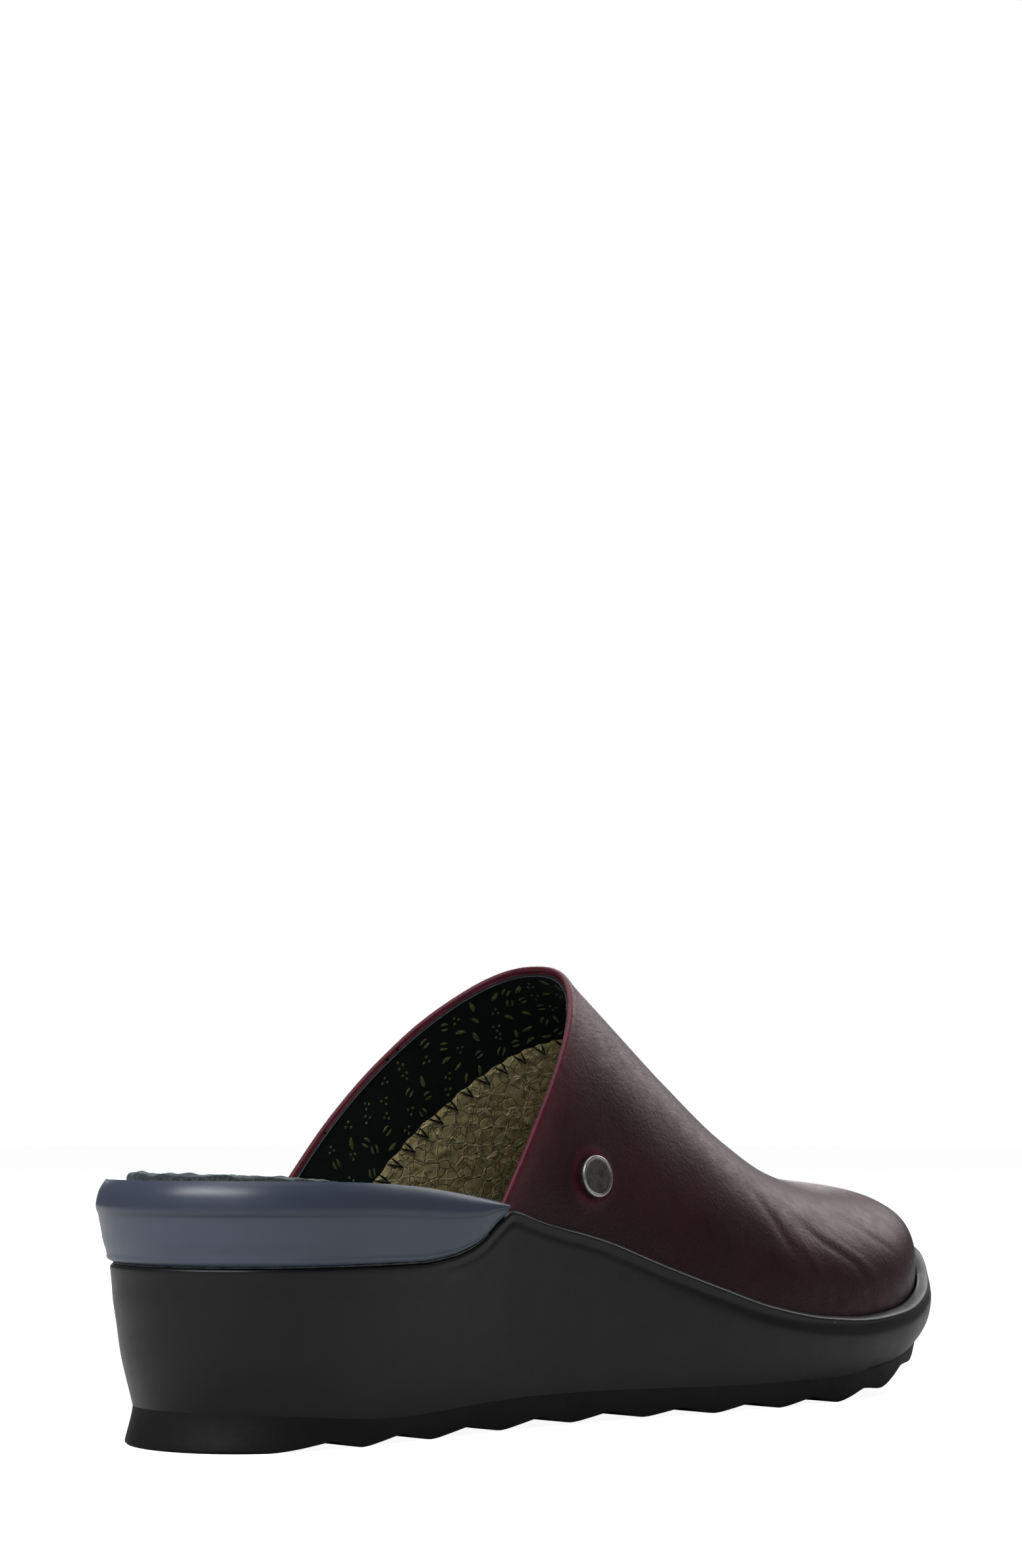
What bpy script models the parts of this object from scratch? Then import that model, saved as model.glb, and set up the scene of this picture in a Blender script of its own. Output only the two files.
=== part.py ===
"""Wedge clog for the right foot: a backless leather upper on a wedge sole.

Metres, +Z up, +X towards the toe, +Y towards the inner side of the foot.
The shoe stands on its heel and forefoot lugs at z = 0.
"""
import math

import bmesh
import bpy
import numpy as np
from mathutils import Matrix, Vector

MM = 0.001

# Driving sizes
LENGTH = 258 * MM             # heel to toe over the rim of the sole
BALL_WIDTH = 95 * MM          # widest width of the sole
HEEL_HEIGHT = 54.3 * MM       # floor to the top of the heel collar
FOREFOOT_HEIGHT = 19.9 * MM   # floor to the rim at the ball
TOE_RISE = 17 * MM            # how far the rim climbs from the ball to the toe tip
INSTEP_HEIGHT = 102.5 * MM    # floor to the top of the opening
TOE_HEIGHT = 50 * MM          # floor to the top of the toe box
WALL = 2.0 * MM               # leather and lining of the upper
LIP_DEPTH = 4.0 * MM          # rim of the sole above the bed inside it
LIP_WIDTH = 3.6 * MM          # outline to the inner face of the rim
RIM_ROUNDING = 0.5 * MM       # rounding of the rim's inner edge
BED_TOE_SPRING = 4.0 * MM     # rise of the bed at the toe tip
LEDGE_HEIGHT = 36.8 * MM      # floor to the ledge that carries the collar
COLLAR_INSET = 7.7 * MM       # outline to the inner face of the collar at the heel
COLLAR_END = 78 * MM          # heel to the front ends of the collar
SKIRT_DROP = 0.8 * MM         # rim down to where the upper's wall turns straight down
SIDE_SWELL = 1.2 * MM         # how far the sides of the upper swell outwards
OUTSOLE_THICKNESS = 6.3 * MM  # floor to the seam under the midsole
TOE_SPRING = 13.5 * MM        # floor to the tread at the toe tip
ARCH_RISE = 0.5 * MM          # floor to the tread at the waist
LUG_PITCH = 20.4 * MM
LUG_DEPTH = 2.6 * MM
HEEL_PAD = 30.5 * MM          # flat part of the heel before the first groove
HEEL_FLARE = 1.8 * MM         # how far the tread stands out past the seam at the heel
TOE_TUCK = 0.4 * MM           # how far it stays inside the seam at the forefoot
TREAD_BEVEL = 0.9 * MM        # bevel round the tread
INSOLE_INSET = 8.0 * MM       # outline to the edge of the insole
INSOLE_THICKNESS = 4.0 * MM
INSOLE_RIM = 1.2 * MM         # how far the insole's edge stands above its middle
INSOLE_RIM_END = 0.62         # share of the length where that rim has died away
LAST_GROOVE = 0.95            # share of the length where the tread's grooves end
FLARE_END = 0.25              # share of the length where the heel's flare ends
GROOVE_FULL = 0.625           # share of the outsole's thickness that a full groove needs
BUTTON_RADIUS = 4.75 * MM
BUTTON_THICKNESS = 1.5 * MM
POST_RADIUS = 1.3 * MM
CLEARANCE = 0.3 * MM

STATIONS = 50                 # rows along the sole
UPPER_STATIONS = 30
ARCH_STEPS = 14               # steps from the sole to the ridge of the upper
TURN_STEPS = 32               # sides of a round piece

# Outline of the sole: share of length, centre, outer and inner fullness.
# Fullness and centre are shares of the ball width.
PLAN = (
    (0.00, 0.000, 0.689, 0.689),
    (0.05, 0.000, 0.633, 0.633),
    (0.10, 0.000, 0.565, 0.565),
    (0.20, 0.000, 0.445, 0.441),
    (0.30, 0.000, 0.384, 0.368),
    (0.40, 0.000, 0.374, 0.337),
    (0.50, 0.002, 0.411, 0.353),
    (0.60, 0.008, 0.479, 0.426),
    (0.70, 0.019, 0.558, 0.511),
    (0.80, 0.032, 0.642, 0.579),
    (0.90, 0.045, 0.705, 0.621),
    (1.00, 0.058, 0.726, 0.647),
)

# Wedge: share of length, share of the drop from heel to ball, share of the toe rise
TOP_LINE = (
    (0.00, 1.000, 0.00),
    (0.07, 0.997, 0.00),
    (0.12, 0.988, 0.00),
    (0.16, 0.974, 0.00),
    (0.20, 0.950, 0.00),
    (0.25, 0.900, 0.00),
    (0.30, 0.838, 0.00),
    (0.34, 0.738, 0.00),
    (0.42, 0.590, 0.00),
    (0.49, 0.407, 0.00),
    (0.55, 0.256, 0.00),
    (0.61, 0.117, 0.00),
    (0.68, 0.026, 0.00),
    (0.74, 0.000, 0.00),
    (0.81, 0.000, 0.07),
    (0.87, 0.000, 0.26),
    (0.91, 0.000, 0.46),
    (0.95, 0.000, 0.82),
    (1.00, 0.000, 1.00),
)

# Ledge under the collar: place as a share of the collar's length, share of the way from
# ledge height to the top line, share of the way that the collar has thinned to the lip
LEDGE_LINE = (
    (0.00, 0.00, 0.00),
    (0.60, 0.00, 0.00),
    (0.66, 0.00, 0.15),
    (0.79, 0.07, 0.88),
    (0.85, 0.16, 1.00),
    (0.90, 0.29, 1.00),
    (0.98, 0.68, 1.00),
    (1.04, 0.96, 1.00),
    (1.09, 1.00, 1.00),
)

# Seam between midsole and outsole: share of length, share of the outsole's thickness,
# share of the toe spring
SEAM_LINE = (
    (0.00, 1.24, 0.00),
    (0.10, 1.06, 0.00),
    (0.19, 0.84, 0.00),
    (0.30, 1.05, 0.00),
    (0.44, 1.08, 0.00),
    (0.58, 0.94, 0.00),
    (0.70, 0.90, 0.02),
    (0.78, 0.78, 0.19),
    (0.87, 0.58, 0.54),
    (0.94, 0.46, 0.82),
    (1.00, 0.40, 1.00),
)

# Tread: share of length, share of the arch rise, share of the toe spring
TREAD_LINE = (
    (0.00, 0.0, 0.00),
    (0.23, 0.0, 0.00),
    (0.38, 1.0, 0.00),
    (0.46, 0.8, 0.00),
    (0.54, 0.0, 0.00),
    (0.71, 0.0, 0.00),
    (0.78, 0.0, 0.14),
    (0.86, 0.0, 0.51),
    (0.93, 0.0, 0.83),
    (1.00, 0.0, 1.00),
)

# Side of the midsole: share of its height, inset at heel, waist, ball and toe in shares
# of the lip width
SIDE = (
    (0.00, 2.33, 1.20, 1.08, 1.14),
    (0.16, 1.99, 0.97, 0.63, 0.68),
    (0.36, 1.59, 0.80, 0.23, 0.27),
    (0.58, 1.31, 0.68, 0.02, 0.05),
    (0.76, 1.08, 0.57, 0.00, 0.00),
    (0.90, 0.97, 0.48, 0.14, 0.16),
    (0.97, 0.91, 0.48, 0.34, 0.39),
    (1.00, 0.91, 0.59, 0.59, 0.64),
)
SIDE_PLACES = (0.10, 0.42, 0.72, 1.00)   # shares of length of the four columns above

# Outer face of the collar: share of its height, inset at the heel and at its front ends
# in shares of the lip width
COLLAR_SIDE = (
    (0.00, 1.14, 0.59),
    (0.20, 0.87, 0.51),
    (0.42, 0.52, 0.41),
    (0.60, 0.20, 0.32),
    (0.68, 0.14, 0.30),
    (0.80, 0.00, 0.25),
    (0.93, 0.23, 0.34),
    (1.00, 0.61, 0.59),
)

# Edge of the outsole: share of its height, share of the flare, share of the bevel
EDGE = (
    (0.00, 1.00, 1.00),
    (0.07, 1.00, 0.20),
    (0.20, 1.00, 0.00),
    (0.85, 0.08, 0.00),
    (1.00, 0.00, 0.00),
)

# Lugs and grooves: share of the pitch, share of the groove's depth
LUG = (
    (0.00, 1.00),
    (0.10, 0.55),
    (0.24, 0.16),
    (0.42, 0.00),
    (0.72, 0.00),
    (0.86, 0.30),
)

# Side and edge of the insole: extra inset in shares of the lip width, share of its
# thickness, share of its raised rim
INSOLE_SIDE = (
    (0.20, 0.0, 0.00),
    (0.00, 0.2, 0.00),
    (0.00, 1.0, 0.50),
    (0.25, 1.0, 1.00),
    (0.90, 1.0, 0.75),
    (2.40, 1.0, 0.10),
)

# Cap of the button: distance from its edge and height in shares of its thickness
BUTTON_CAP = (
    (0.3, 0.00),
    (0.0, 0.30),
    (0.0, 0.80),
    (0.2, 1.00),
    (0.5, 0.85),
)

# Ridge of the upper, station by station from the opening to the toe tip.
# Station is the angle share along the outline, place the share of length, climb the share
# of the rise from toe box to instep, fall the share of the drop from toe box to rim,
# lean the share of ball width towards the inner side, outer and inner roundness.
RIDGE = (
    (0.372, 0.470, 1.000, 0.00, 0.000, 2.35, 2.20),
    (0.43, 0.531, 0.787, 0.00, 0.005, 2.30, 2.15),
    (0.50, 0.603, 0.513, 0.00, 0.012, 2.20, 2.10),
    (0.58, 0.688, 0.215, 0.00, 0.025, 2.18, 2.15),
    (0.64, 0.756, 0.082, 0.00, 0.040, 2.25, 2.25),
    (0.70, 0.818, 0.035, 0.00, 0.052, 2.35, 2.30),
    (0.77, 0.882, 0.010, 0.00, 0.062, 2.40, 2.35),
    (0.83, 0.926, 0.000, 0.12, 0.066, 2.40, 2.35),
    (0.88, 0.955, 0.000, 0.30, 0.066, 2.35, 2.35),
    (0.92, 0.971, 0.000, 0.50, 0.064, 2.30, 2.30),
    (0.96, 0.980, 0.000, 0.74, 0.061, 2.20, 2.20),
    (1.00, 0.9836, 0.000, 1.00, 0.058, 2.10, 2.10),
)
BACK_SLANT = 0.8              # share of the opening's slant that follows its height
BACK_SKEW = 0.026             # share of the half outline that the inner side starts further back
BUTTON_STATION = 0.427        # share of the half outline where the button sits
BUTTON_ANGLE = 0.127          # share of the way from sole to ridge


def smooth(table, column):
    """Return a natural cubic curve through a column of a table, over its first column."""
    xs = np.array([row[0] for row in table], float)
    ys = np.array([row[column] for row in table], float)
    step = np.diff(xs)
    count = len(xs)
    matrix = np.eye(count)
    right = np.zeros(count)
    for i in range(1, count - 1):
        matrix[i, i - 1] = step[i - 1]
        matrix[i, i] = 2 * (step[i - 1] + step[i])
        matrix[i, i + 1] = step[i]
        right[i] = 6 * ((ys[i + 1] - ys[i]) / step[i] - (ys[i] - ys[i - 1]) / step[i - 1])
    bend = np.linalg.solve(matrix, right)

    def value(x):
        x = min(max(x, xs[0]), xs[-1])
        i = min(int(np.searchsorted(xs, x, side="right")) - 1, count - 2)
        h = step[i]
        a = (xs[i + 1] - x) / h
        b = 1 - a
        curve = ((a ** 3 - a) * bend[i] + (b ** 3 - b) * bend[i + 1]) * h * h / 6
        return float(a * ys[i] + b * ys[i + 1] + curve)

    return value


def steady(table, column):
    """Return a curve through a column of a table that never overshoots its points."""
    xs = np.array([row[0] for row in table], float)
    ys = np.array([row[column] for row in table], float)
    step = np.diff(xs)
    slope = np.diff(ys) / step
    tangent = np.zeros(len(xs))
    for i in range(1, len(xs) - 1):
        if slope[i - 1] * slope[i] > 0:
            w1 = 2 * step[i] + step[i - 1]
            w2 = step[i] + 2 * step[i - 1]
            tangent[i] = (w1 + w2) / (w1 / slope[i - 1] + w2 / slope[i])

    def value(x):
        x = min(max(x, xs[0]), xs[-1])
        i = min(int(np.searchsorted(xs, x, side="right")) - 1, len(xs) - 2)
        h = step[i]
        t = (x - xs[i]) / h
        near = (1 + 2 * t) * (1 - t) ** 2 * ys[i] + t * (1 - t) ** 2 * h * tangent[i]
        far = t * t * (3 - 2 * t) * ys[i + 1] - t * t * (1 - t) * h * tangent[i + 1]
        return float(near + far)

    return value


plan_centre = smooth(PLAN, 1)
plan_outer = smooth(PLAN, 2)
plan_inner = smooth(PLAN, 3)
top_drop = steady(TOP_LINE, 1)
top_toe = steady(TOP_LINE, 2)
ledge_climb = steady(LEDGE_LINE, 1)
collar_thinning = steady(LEDGE_LINE, 2)
seam_thickness = smooth(SEAM_LINE, 1)
seam_spring = steady(SEAM_LINE, 2)
tread_arch = steady(TREAD_LINE, 1)
tread_spring = steady(TREAD_LINE, 2)
ridge_curves = [smooth(RIDGE, column) for column in range(1, 7)]


def share_at(station):
    """Share of the length at a station, 0 at the heel and 1 or -1 at the toe."""
    return (1 - math.cos(math.pi * abs(station))) / 2


def station_at(share):
    """Station, without its sign, at a share of the length."""
    return math.acos(1 - 2 * min(max(share, 0.0), 1.0)) / math.pi


def sole_stations():
    """Stations of the rows along the sole, one of them at the front ends of the collar."""
    end = station_at(COLLAR_END / LENGTH)
    nearest = round(end * STATIONS)
    return [end if row == nearest else row / STATIONS for row in range(STATIONS + 1)]


def outline(station):
    """Point of the outline: station below 0 on the outer side, above 0 on the inner side."""
    share = share_at(station)
    full = plan_outer(share) if station < 0 else plan_inner(share)
    across = math.sin(math.pi * station) * full + plan_centre(share)
    return np.array((share * LENGTH, across * BALL_WIDTH))


def inward(station):
    """Unit vector in plan, square to the outline and pointing into the shoe."""
    tiny = 1e-4
    along = outline(station + tiny) - outline(station - tiny)
    along /= np.linalg.norm(along)
    return np.array((along[1], -along[0]))


def plan(station, inset):
    """Point in plan, a given distance inside the outline."""
    return outline(station) + inward(station) * inset


def rim_height(share):
    """Top of the collar at the heel and of the sole's rim from the waist to the toe."""
    drop = (HEEL_HEIGHT - FOREFOOT_HEIGHT) * top_drop(share)
    return FOREFOOT_HEIGHT + drop + TOE_RISE * top_toe(share)


def bed_height(share):
    """Surface inside the rim that carries the insole."""
    drop = (HEEL_HEIGHT - FOREFOOT_HEIGHT) * top_drop(share)
    return FOREFOOT_HEIGHT + drop - LIP_DEPTH + BED_TOE_SPRING * top_toe(share)


def ledge_share(share):
    """Share of the way from the ledge to the top line, which climbs at the collar's ends."""
    return ledge_climb(share * LENGTH / COLLAR_END)


def ledge_height(share):
    """Ledge under the collar, which climbs to meet the top line at the waist."""
    mix = ledge_share(share)
    return LEDGE_HEIGHT * (1 - mix) + rim_height(share) * mix


def seam_height(share):
    """Joint between midsole and outsole."""
    return OUTSOLE_THICKNESS * seam_thickness(share) + TOE_SPRING * seam_spring(share)


def tread_height(share):
    """Plain surface that the lugs touch."""
    return ARCH_RISE * tread_arch(share) + TOE_SPRING * tread_spring(share)


def side_inset(share, level):
    """Inset of the midsole's side at a share of its height."""
    row = SIDE[level]
    column = smooth(tuple(zip(SIDE_PLACES, row[1:])), 1)
    return column(share) * LIP_WIDTH


def collar_reach(share):
    """Inner face of the collar, which thins towards its front ends."""
    thin = collar_thinning(share * LENGTH / COLLAR_END)
    return COLLAR_INSET * (1 - thin) + LIP_WIDTH * thin


def new_object(name, vertices, faces, colour, roughness, metallic=0.0):
    """Make a closed object with outward faces, smooth shading and its own material."""
    mesh = bpy.data.meshes.new(name)
    bm = bmesh.new()
    made = [bm.verts.new(Vector(v)) for v in vertices]
    for face in faces:
        bm.faces.new([made[i] for i in face])
    bmesh.ops.remove_doubles(bm, verts=bm.verts, dist=1e-6)
    bmesh.ops.triangulate(bm, faces=[f for f in bm.faces if len(f.verts) > 4])
    bmesh.ops.recalc_face_normals(bm, faces=bm.faces)
    bm.to_mesh(mesh)
    bm.free()
    mesh.shade_smooth()
    mesh.set_sharp_from_angle(angle=math.radians(40))
    part = bpy.data.objects.new(name, mesh)
    bpy.context.collection.objects.link(part)
    material = bpy.data.materials.new(name)
    material.use_nodes = True
    shader = material.node_tree.nodes["Principled BSDF"]
    shader.inputs["Base Color"].default_value = (*colour, 1.0)
    shader.inputs["Roughness"].default_value = roughness
    shader.inputs["Metallic"].default_value = metallic
    mesh.materials.append(material)
    return part


def loft(rings, capped=False):
    """Faces between closed rings of equal length, with flat caps where asked."""
    count = len(rings[0])
    vertices = [point for ring in rings for point in ring]
    faces = []
    for row in range(len(rings) - 1):
        for i in range(count):
            j = (i + 1) % count
            a = row * count
            b = a + count
            faces.append((a + i, a + j, b + j, b + i))
    if capped:
        faces.append(tuple(range(count - 1, -1, -1)))
        last = (len(rings) - 1) * count
        faces.append(tuple(range(last, last + count)))
    return vertices, faces


def sole_ring(station, levels):
    """Section of the sole: the levels up its outer side, then down its inner side.

    Each level is an inset and a height. The ends of the shoe fold to one line.
    """
    outer = [(*plan(-station, inset), height) for inset, height in levels]
    inner = [(*plan(station, inset), height) for inset, height in reversed(levels)]
    return outer + inner


def build_midsole():
    """Wedge with a shaped side, a ledge for the collar, a rim and a sunk bed."""
    rings = []
    for station in sole_stations():
        share = share_at(station)
        low = seam_height(share)
        ledge = ledge_height(share)
        on_rim = ledge_share(share)
        wall = collar_reach(share) + CLEARANCE * (1 - on_rim)
        rounding = RIM_ROUNDING * on_rim
        levels = []
        for level, line in enumerate(SIDE):
            levels.append((side_inset(share, level), low + (ledge - low) * line[0]))
        levels.append((wall - rounding, ledge - rounding))
        levels.append((wall, ledge - 2 * rounding))
        levels.append((wall, bed_height(share)))
        rings.append(sole_ring(station, levels))
    vertices, faces = loft(rings)
    return new_object("midsole", vertices, faces, (0.016, 0.016, 0.017), 0.42)


def lug_places():
    """Shares of length and lift of the tread, groove by groove."""
    rows = [share_at(station) for station in sole_stations()]
    places = [(share, 0.0) for share in rows if share * LENGTH < 0.9 * HEEL_PAD]
    start = HEEL_PAD
    while start + 0.5 * LUG_PITCH < LENGTH:
        for part, lift in LUG:
            place = start + part * LUG_PITCH
            if place < LENGTH * LAST_GROOVE:
                places.append((place / LENGTH, lift))
        start += LUG_PITCH
    tip = places[-1][0] + 0.3 * (1 - LAST_GROOVE)
    places += [(share, 0.0) for share in rows if share > tip]
    return places


def build_outsole():
    """Rubber sole with cross lugs, a flared heel and a lifted toe."""
    rings = []
    for share, lift in lug_places():
        station = station_at(share)
        seam = seam_height(share) - CLEARANCE
        tread = tread_height(share)
        fade = min(1.0, (seam - tread) / (GROOVE_FULL * OUTSOLE_THICKNESS))
        bottom = tread + LUG_DEPTH * lift * fade
        notch = side_inset(share, 0)
        heel = max(0.0, 1 - share / FLARE_END)
        flare = HEEL_FLARE * heel - TOE_TUCK * (1 - heel)
        levels = []
        for height, out, bevel in EDGE:
            inset = notch - flare * out + TREAD_BEVEL * bevel
            levels.append((inset, bottom + (seam - bottom) * height))
        rings.append(sole_ring(station, levels))
    vertices, faces = loft(rings)
    return new_object("outsole", vertices, faces, (0.012, 0.012, 0.012), 0.62)


def build_collar():
    """Band round the heel, between the ledge and the top line, pointed at its front."""
    end = station_at(COLLAR_END / LENGTH)
    inner_side = [station for station in sole_stations() if station <= end]
    outer_side = [-station for station in reversed(inner_side[1:])]
    rings = []
    for station in outer_side + inner_side:
        share = share_at(station)
        low = ledge_height(share) + CLEARANCE
        high = rim_height(share)
        front = share * LENGTH / COLLAR_END
        ring = []
        for line in COLLAR_SIDE:
            inset = (line[1] * (1 - front) + line[2] * front) * LIP_WIDTH
            ring.append((*plan(station, inset), low + (high - low) * line[0]))
        reach = collar_reach(share)
        ring.append((*plan(station, reach), high))
        ring.append((*plan(station, reach), low))
        rings.append(ring)
    vertices, faces = loft(rings, capped=True)
    return new_object("heel_collar", vertices, faces, (0.075, 0.095, 0.14), 0.25)


def build_insole():
    """Footbed that lies in the rim and stands a little above the collar at its edge."""
    rings = []
    for station in sole_stations():
        share = share_at(station)
        low = bed_height(share) + CLEARANCE
        rise = INSOLE_RIM * max(0.0, 1 - share / INSOLE_RIM_END)
        levels = []
        for inset, height, rim in INSOLE_SIDE:
            top = low + height * INSOLE_THICKNESS + rim * rise
            levels.append((INSOLE_INSET + inset * LIP_WIDTH, top))
        rings.append(sole_ring(station, levels))
    vertices, faces = loft(rings)
    return new_object("insole", vertices, faces, (0.055, 0.075, 0.085), 0.7)


def foot_station_at(station, side):
    """Station where a row of the upper meets the sole: further back on the inner side."""
    if side < 0:
        return station
    return station - BACK_SKEW * (1 - station) / (1 - RIDGE[0][0])


def upper_point(station, angle):
    """Outer surface of the upper.

    Angle runs from -1 at the sole on the outer side, over the ridge at 0, to 1 at the sole
    on the inner side.
    """
    place, climb, fall, lean, outer, inner = [curve(station) for curve in ridge_curves]
    side = -1 if angle < 0 else 1
    foot_station = foot_station_at(station, side)
    foot_xy = plan(side * foot_station, LIP_WIDTH + CLEARANCE)
    share = share_at(foot_station)
    foot_z = rim_height(share) - SKIRT_DROP
    toe_drop = TOE_HEIGHT - (rim_height(1.0) - SKIRT_DROP)
    top_z = TOE_HEIGHT + (INSTEP_HEIGHT - TOE_HEIGHT) * climb - toe_drop * fall
    power = 2 / (outer if side < 0 else inner)
    turn = (1 - abs(angle)) * math.pi / 2
    up = math.sin(turn) ** power
    over = 1 - math.cos(turn) ** power
    ahead = BACK_SLANT * up + (1 - BACK_SLANT) * math.sin(turn) ** 2
    swell = SIDE_SWELL * math.sin(2 * turn) * (1 - fall)
    x = foot_xy[0] + (place * LENGTH - foot_xy[0]) * ahead
    y = foot_xy[1] + (lean * BALL_WIDTH - foot_xy[1]) * over + side * swell
    z = foot_z + (top_z - foot_z) * up
    return np.array((x, y, z))


def upper_normal(station, angle):
    """Outward unit vector of the upper's outer surface."""
    tiny = 1e-3
    station = min(max(station, RIDGE[0][0] + tiny), 1 - 3 * tiny)
    if abs(angle) > 1 - 2 * tiny:
        side = math.copysign(1, angle)
        flat = -inward(side * foot_station_at(station, side))
        return np.array((flat[0], flat[1], 0.0))
    along = upper_point(station + tiny, angle) - upper_point(station - tiny, angle)
    across = upper_point(station, angle + tiny) - upper_point(station, angle - tiny)
    normal = np.cross(along, across)
    return normal / np.linalg.norm(normal)


def build_upper():
    """Hollow leather shell: outer skin, inner skin, their edges and a skirt into the rim."""
    first = RIDGE[0][0]
    angles = [j / ARCH_STEPS for j in range(-ARCH_STEPS, ARCH_STEPS + 1)]
    rings = []
    for row in range(UPPER_STATIONS + 1):
        station = first + (1.0 - first) * row / UPPER_STATIONS
        feet = [bed_height(share_at(foot_station_at(station, side))) + CLEARANCE
                for side in (-1, 1)]
        outer = [upper_point(station, angle) for angle in angles]
        inner = [p - upper_normal(station, angle) * WALL for p, angle in zip(outer, angles)]
        if row == UPPER_STATIONS:
            inner = [inner[0]] * len(angles)
        low_outer = [np.array((outer[i][0], outer[i][1], feet[i])) for i in (0, -1)]
        low_inner = [np.array((inner[i][0], inner[i][1], feet[i])) for i in (0, -1)]
        ring = [low_outer[0], *outer, low_outer[1], low_inner[1], *reversed(inner), low_inner[0]]
        rings.append([tuple(point) for point in ring])
    count = len(rings[0])
    half = len(angles) + 2
    vertices, faces = loft(rings)
    for i in range(half - 1):
        faces.append((i, count - 1 - i, count - 2 - i, i + 1))
    return new_object("upper", vertices, faces, (0.045, 0.010, 0.016), 0.4)


def button_frame():
    """Matrix that stands local +Z on the upper's outer surface at the button."""
    point = upper_point(BUTTON_STATION, -1 + BUTTON_ANGLE)
    normal = upper_normal(BUTTON_STATION, -1 + BUTTON_ANGLE)
    turn = Vector(normal).to_track_quat("Z", "Y").to_matrix().to_4x4()
    return Matrix.Translation(Vector(point)) @ turn


def turned(name, profile, frame, colour, roughness, metallic):
    """Solid of revolution about local Z from points of radius and height."""
    rings = []
    for radius, height in profile:
        ring = []
        for i in range(TURN_STEPS):
            angle = 2 * math.pi * i / TURN_STEPS
            point = Vector((radius * math.cos(angle), radius * math.sin(angle), height))
            ring.append(tuple(frame @ point))
        rings.append(ring)
    vertices, faces = loft(rings, capped=True)
    return new_object(name, vertices, faces, colour, roughness, metallic)


def build_button(upper):
    """Domed metal cap with a post through a hole in the upper."""
    frame = button_frame()
    seat = 2 * CLEARANCE
    profile = [(POST_RADIUS, -WALL - CLEARANCE), (POST_RADIUS, seat)]
    for edge, height in BUTTON_CAP:
        radius = BUTTON_RADIUS - edge * BUTTON_THICKNESS
        profile.append((radius, seat + height * BUTTON_THICKNESS))
    profile.append((POST_RADIUS, seat + BUTTON_THICKNESS))
    turned("button", profile, frame, (0.12, 0.115, 0.11), 0.35, 1.0)
    hole = POST_RADIUS + CLEARANCE
    cutter = turned("button_hole", [(hole, -3 * WALL), (hole, 3 * WALL)], frame,
                    (0.5, 0.5, 0.5), 0.5, 0.0)
    cutter.hide_render = True
    cutter.display_type = "WIRE"
    cut = upper.modifiers.new("button hole", "BOOLEAN")
    cut.object = cutter
    cut.operation = "DIFFERENCE"
    cut.solver = "EXACT"


def centre_on_floor():
    """Move every mesh so that the box round the shoe is centred over the origin."""
    parts = [o for o in bpy.context.scene.objects if not o.hide_render]
    points = np.array([v.co[:] for o in parts for v in o.data.vertices])
    low = points.min(axis=0)
    high = points.max(axis=0)
    shift = Vector((-(low[0] + high[0]) / 2, -(low[1] + high[1]) / 2, -low[2]))
    for o in bpy.context.scene.objects:
        o.data.transform(Matrix.Translation(shift))


def main():
    for old in list(bpy.data.objects):
        bpy.data.objects.remove(old, do_unlink=True)
    build_outsole()
    build_midsole()
    build_collar()
    build_insole()
    upper = build_upper()
    build_button(upper)
    centre_on_floor()


main()
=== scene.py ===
"""Looks of the wedge clog: fine surfaces, lining, stitches, creases and finishes.

Metres, +Z up, +X towards the toe, +Y towards the inner side of the foot.
"""
import math

import bmesh
import bpy
import numpy as np
from mathutils import Matrix, Vector


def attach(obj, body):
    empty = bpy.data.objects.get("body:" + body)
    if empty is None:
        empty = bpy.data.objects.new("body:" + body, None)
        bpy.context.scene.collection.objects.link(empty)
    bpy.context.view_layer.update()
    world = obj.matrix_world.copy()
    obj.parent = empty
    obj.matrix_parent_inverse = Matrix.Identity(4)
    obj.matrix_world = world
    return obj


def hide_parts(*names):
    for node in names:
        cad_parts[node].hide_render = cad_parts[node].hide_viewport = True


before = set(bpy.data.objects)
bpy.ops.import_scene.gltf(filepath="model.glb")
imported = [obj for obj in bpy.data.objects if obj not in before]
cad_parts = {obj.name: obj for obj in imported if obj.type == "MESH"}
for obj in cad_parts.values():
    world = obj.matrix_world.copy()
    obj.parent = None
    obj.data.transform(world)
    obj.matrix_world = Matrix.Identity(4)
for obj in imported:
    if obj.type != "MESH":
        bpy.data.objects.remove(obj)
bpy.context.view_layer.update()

MM = 0.001

# Sizes of the model, as its source has them
LENGTH = 258 * MM
BALL_WIDTH = 95 * MM
HEEL_HEIGHT = 54.3 * MM
FOREFOOT_HEIGHT = 19.9 * MM
TOE_RISE = 17 * MM
INSTEP_HEIGHT = 102.5 * MM
TOE_HEIGHT = 50 * MM
WALL = 2.0 * MM
LIP_DEPTH = 4.0 * MM
LIP_WIDTH = 3.6 * MM
BED_TOE_SPRING = 4.0 * MM
LEDGE_HEIGHT = 36.8 * MM
COLLAR_INSET = 7.7 * MM
COLLAR_END = 78 * MM
SKIRT_DROP = 0.8 * MM
SIDE_SWELL = 1.2 * MM
OUTSOLE_THICKNESS = 6.3 * MM
TOE_SPRING = 13.5 * MM
ARCH_RISE = 0.5 * MM
LUG_PITCH = 20.4 * MM
LUG_DEPTH = 2.6 * MM
HEEL_PAD = 30.5 * MM
HEEL_FLARE = 1.8 * MM
TOE_TUCK = 0.4 * MM
TREAD_BEVEL = 0.9 * MM
INSOLE_INSET = 8.0 * MM
INSOLE_THICKNESS = 4.0 * MM
INSOLE_RIM = 1.2 * MM
INSOLE_RIM_END = 0.62
LAST_GROOVE = 0.95
FLARE_END = 0.25
GROOVE_FULL = 0.625
BUTTON_RADIUS = 4.75 * MM
BUTTON_THICKNESS = 1.5 * MM
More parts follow.
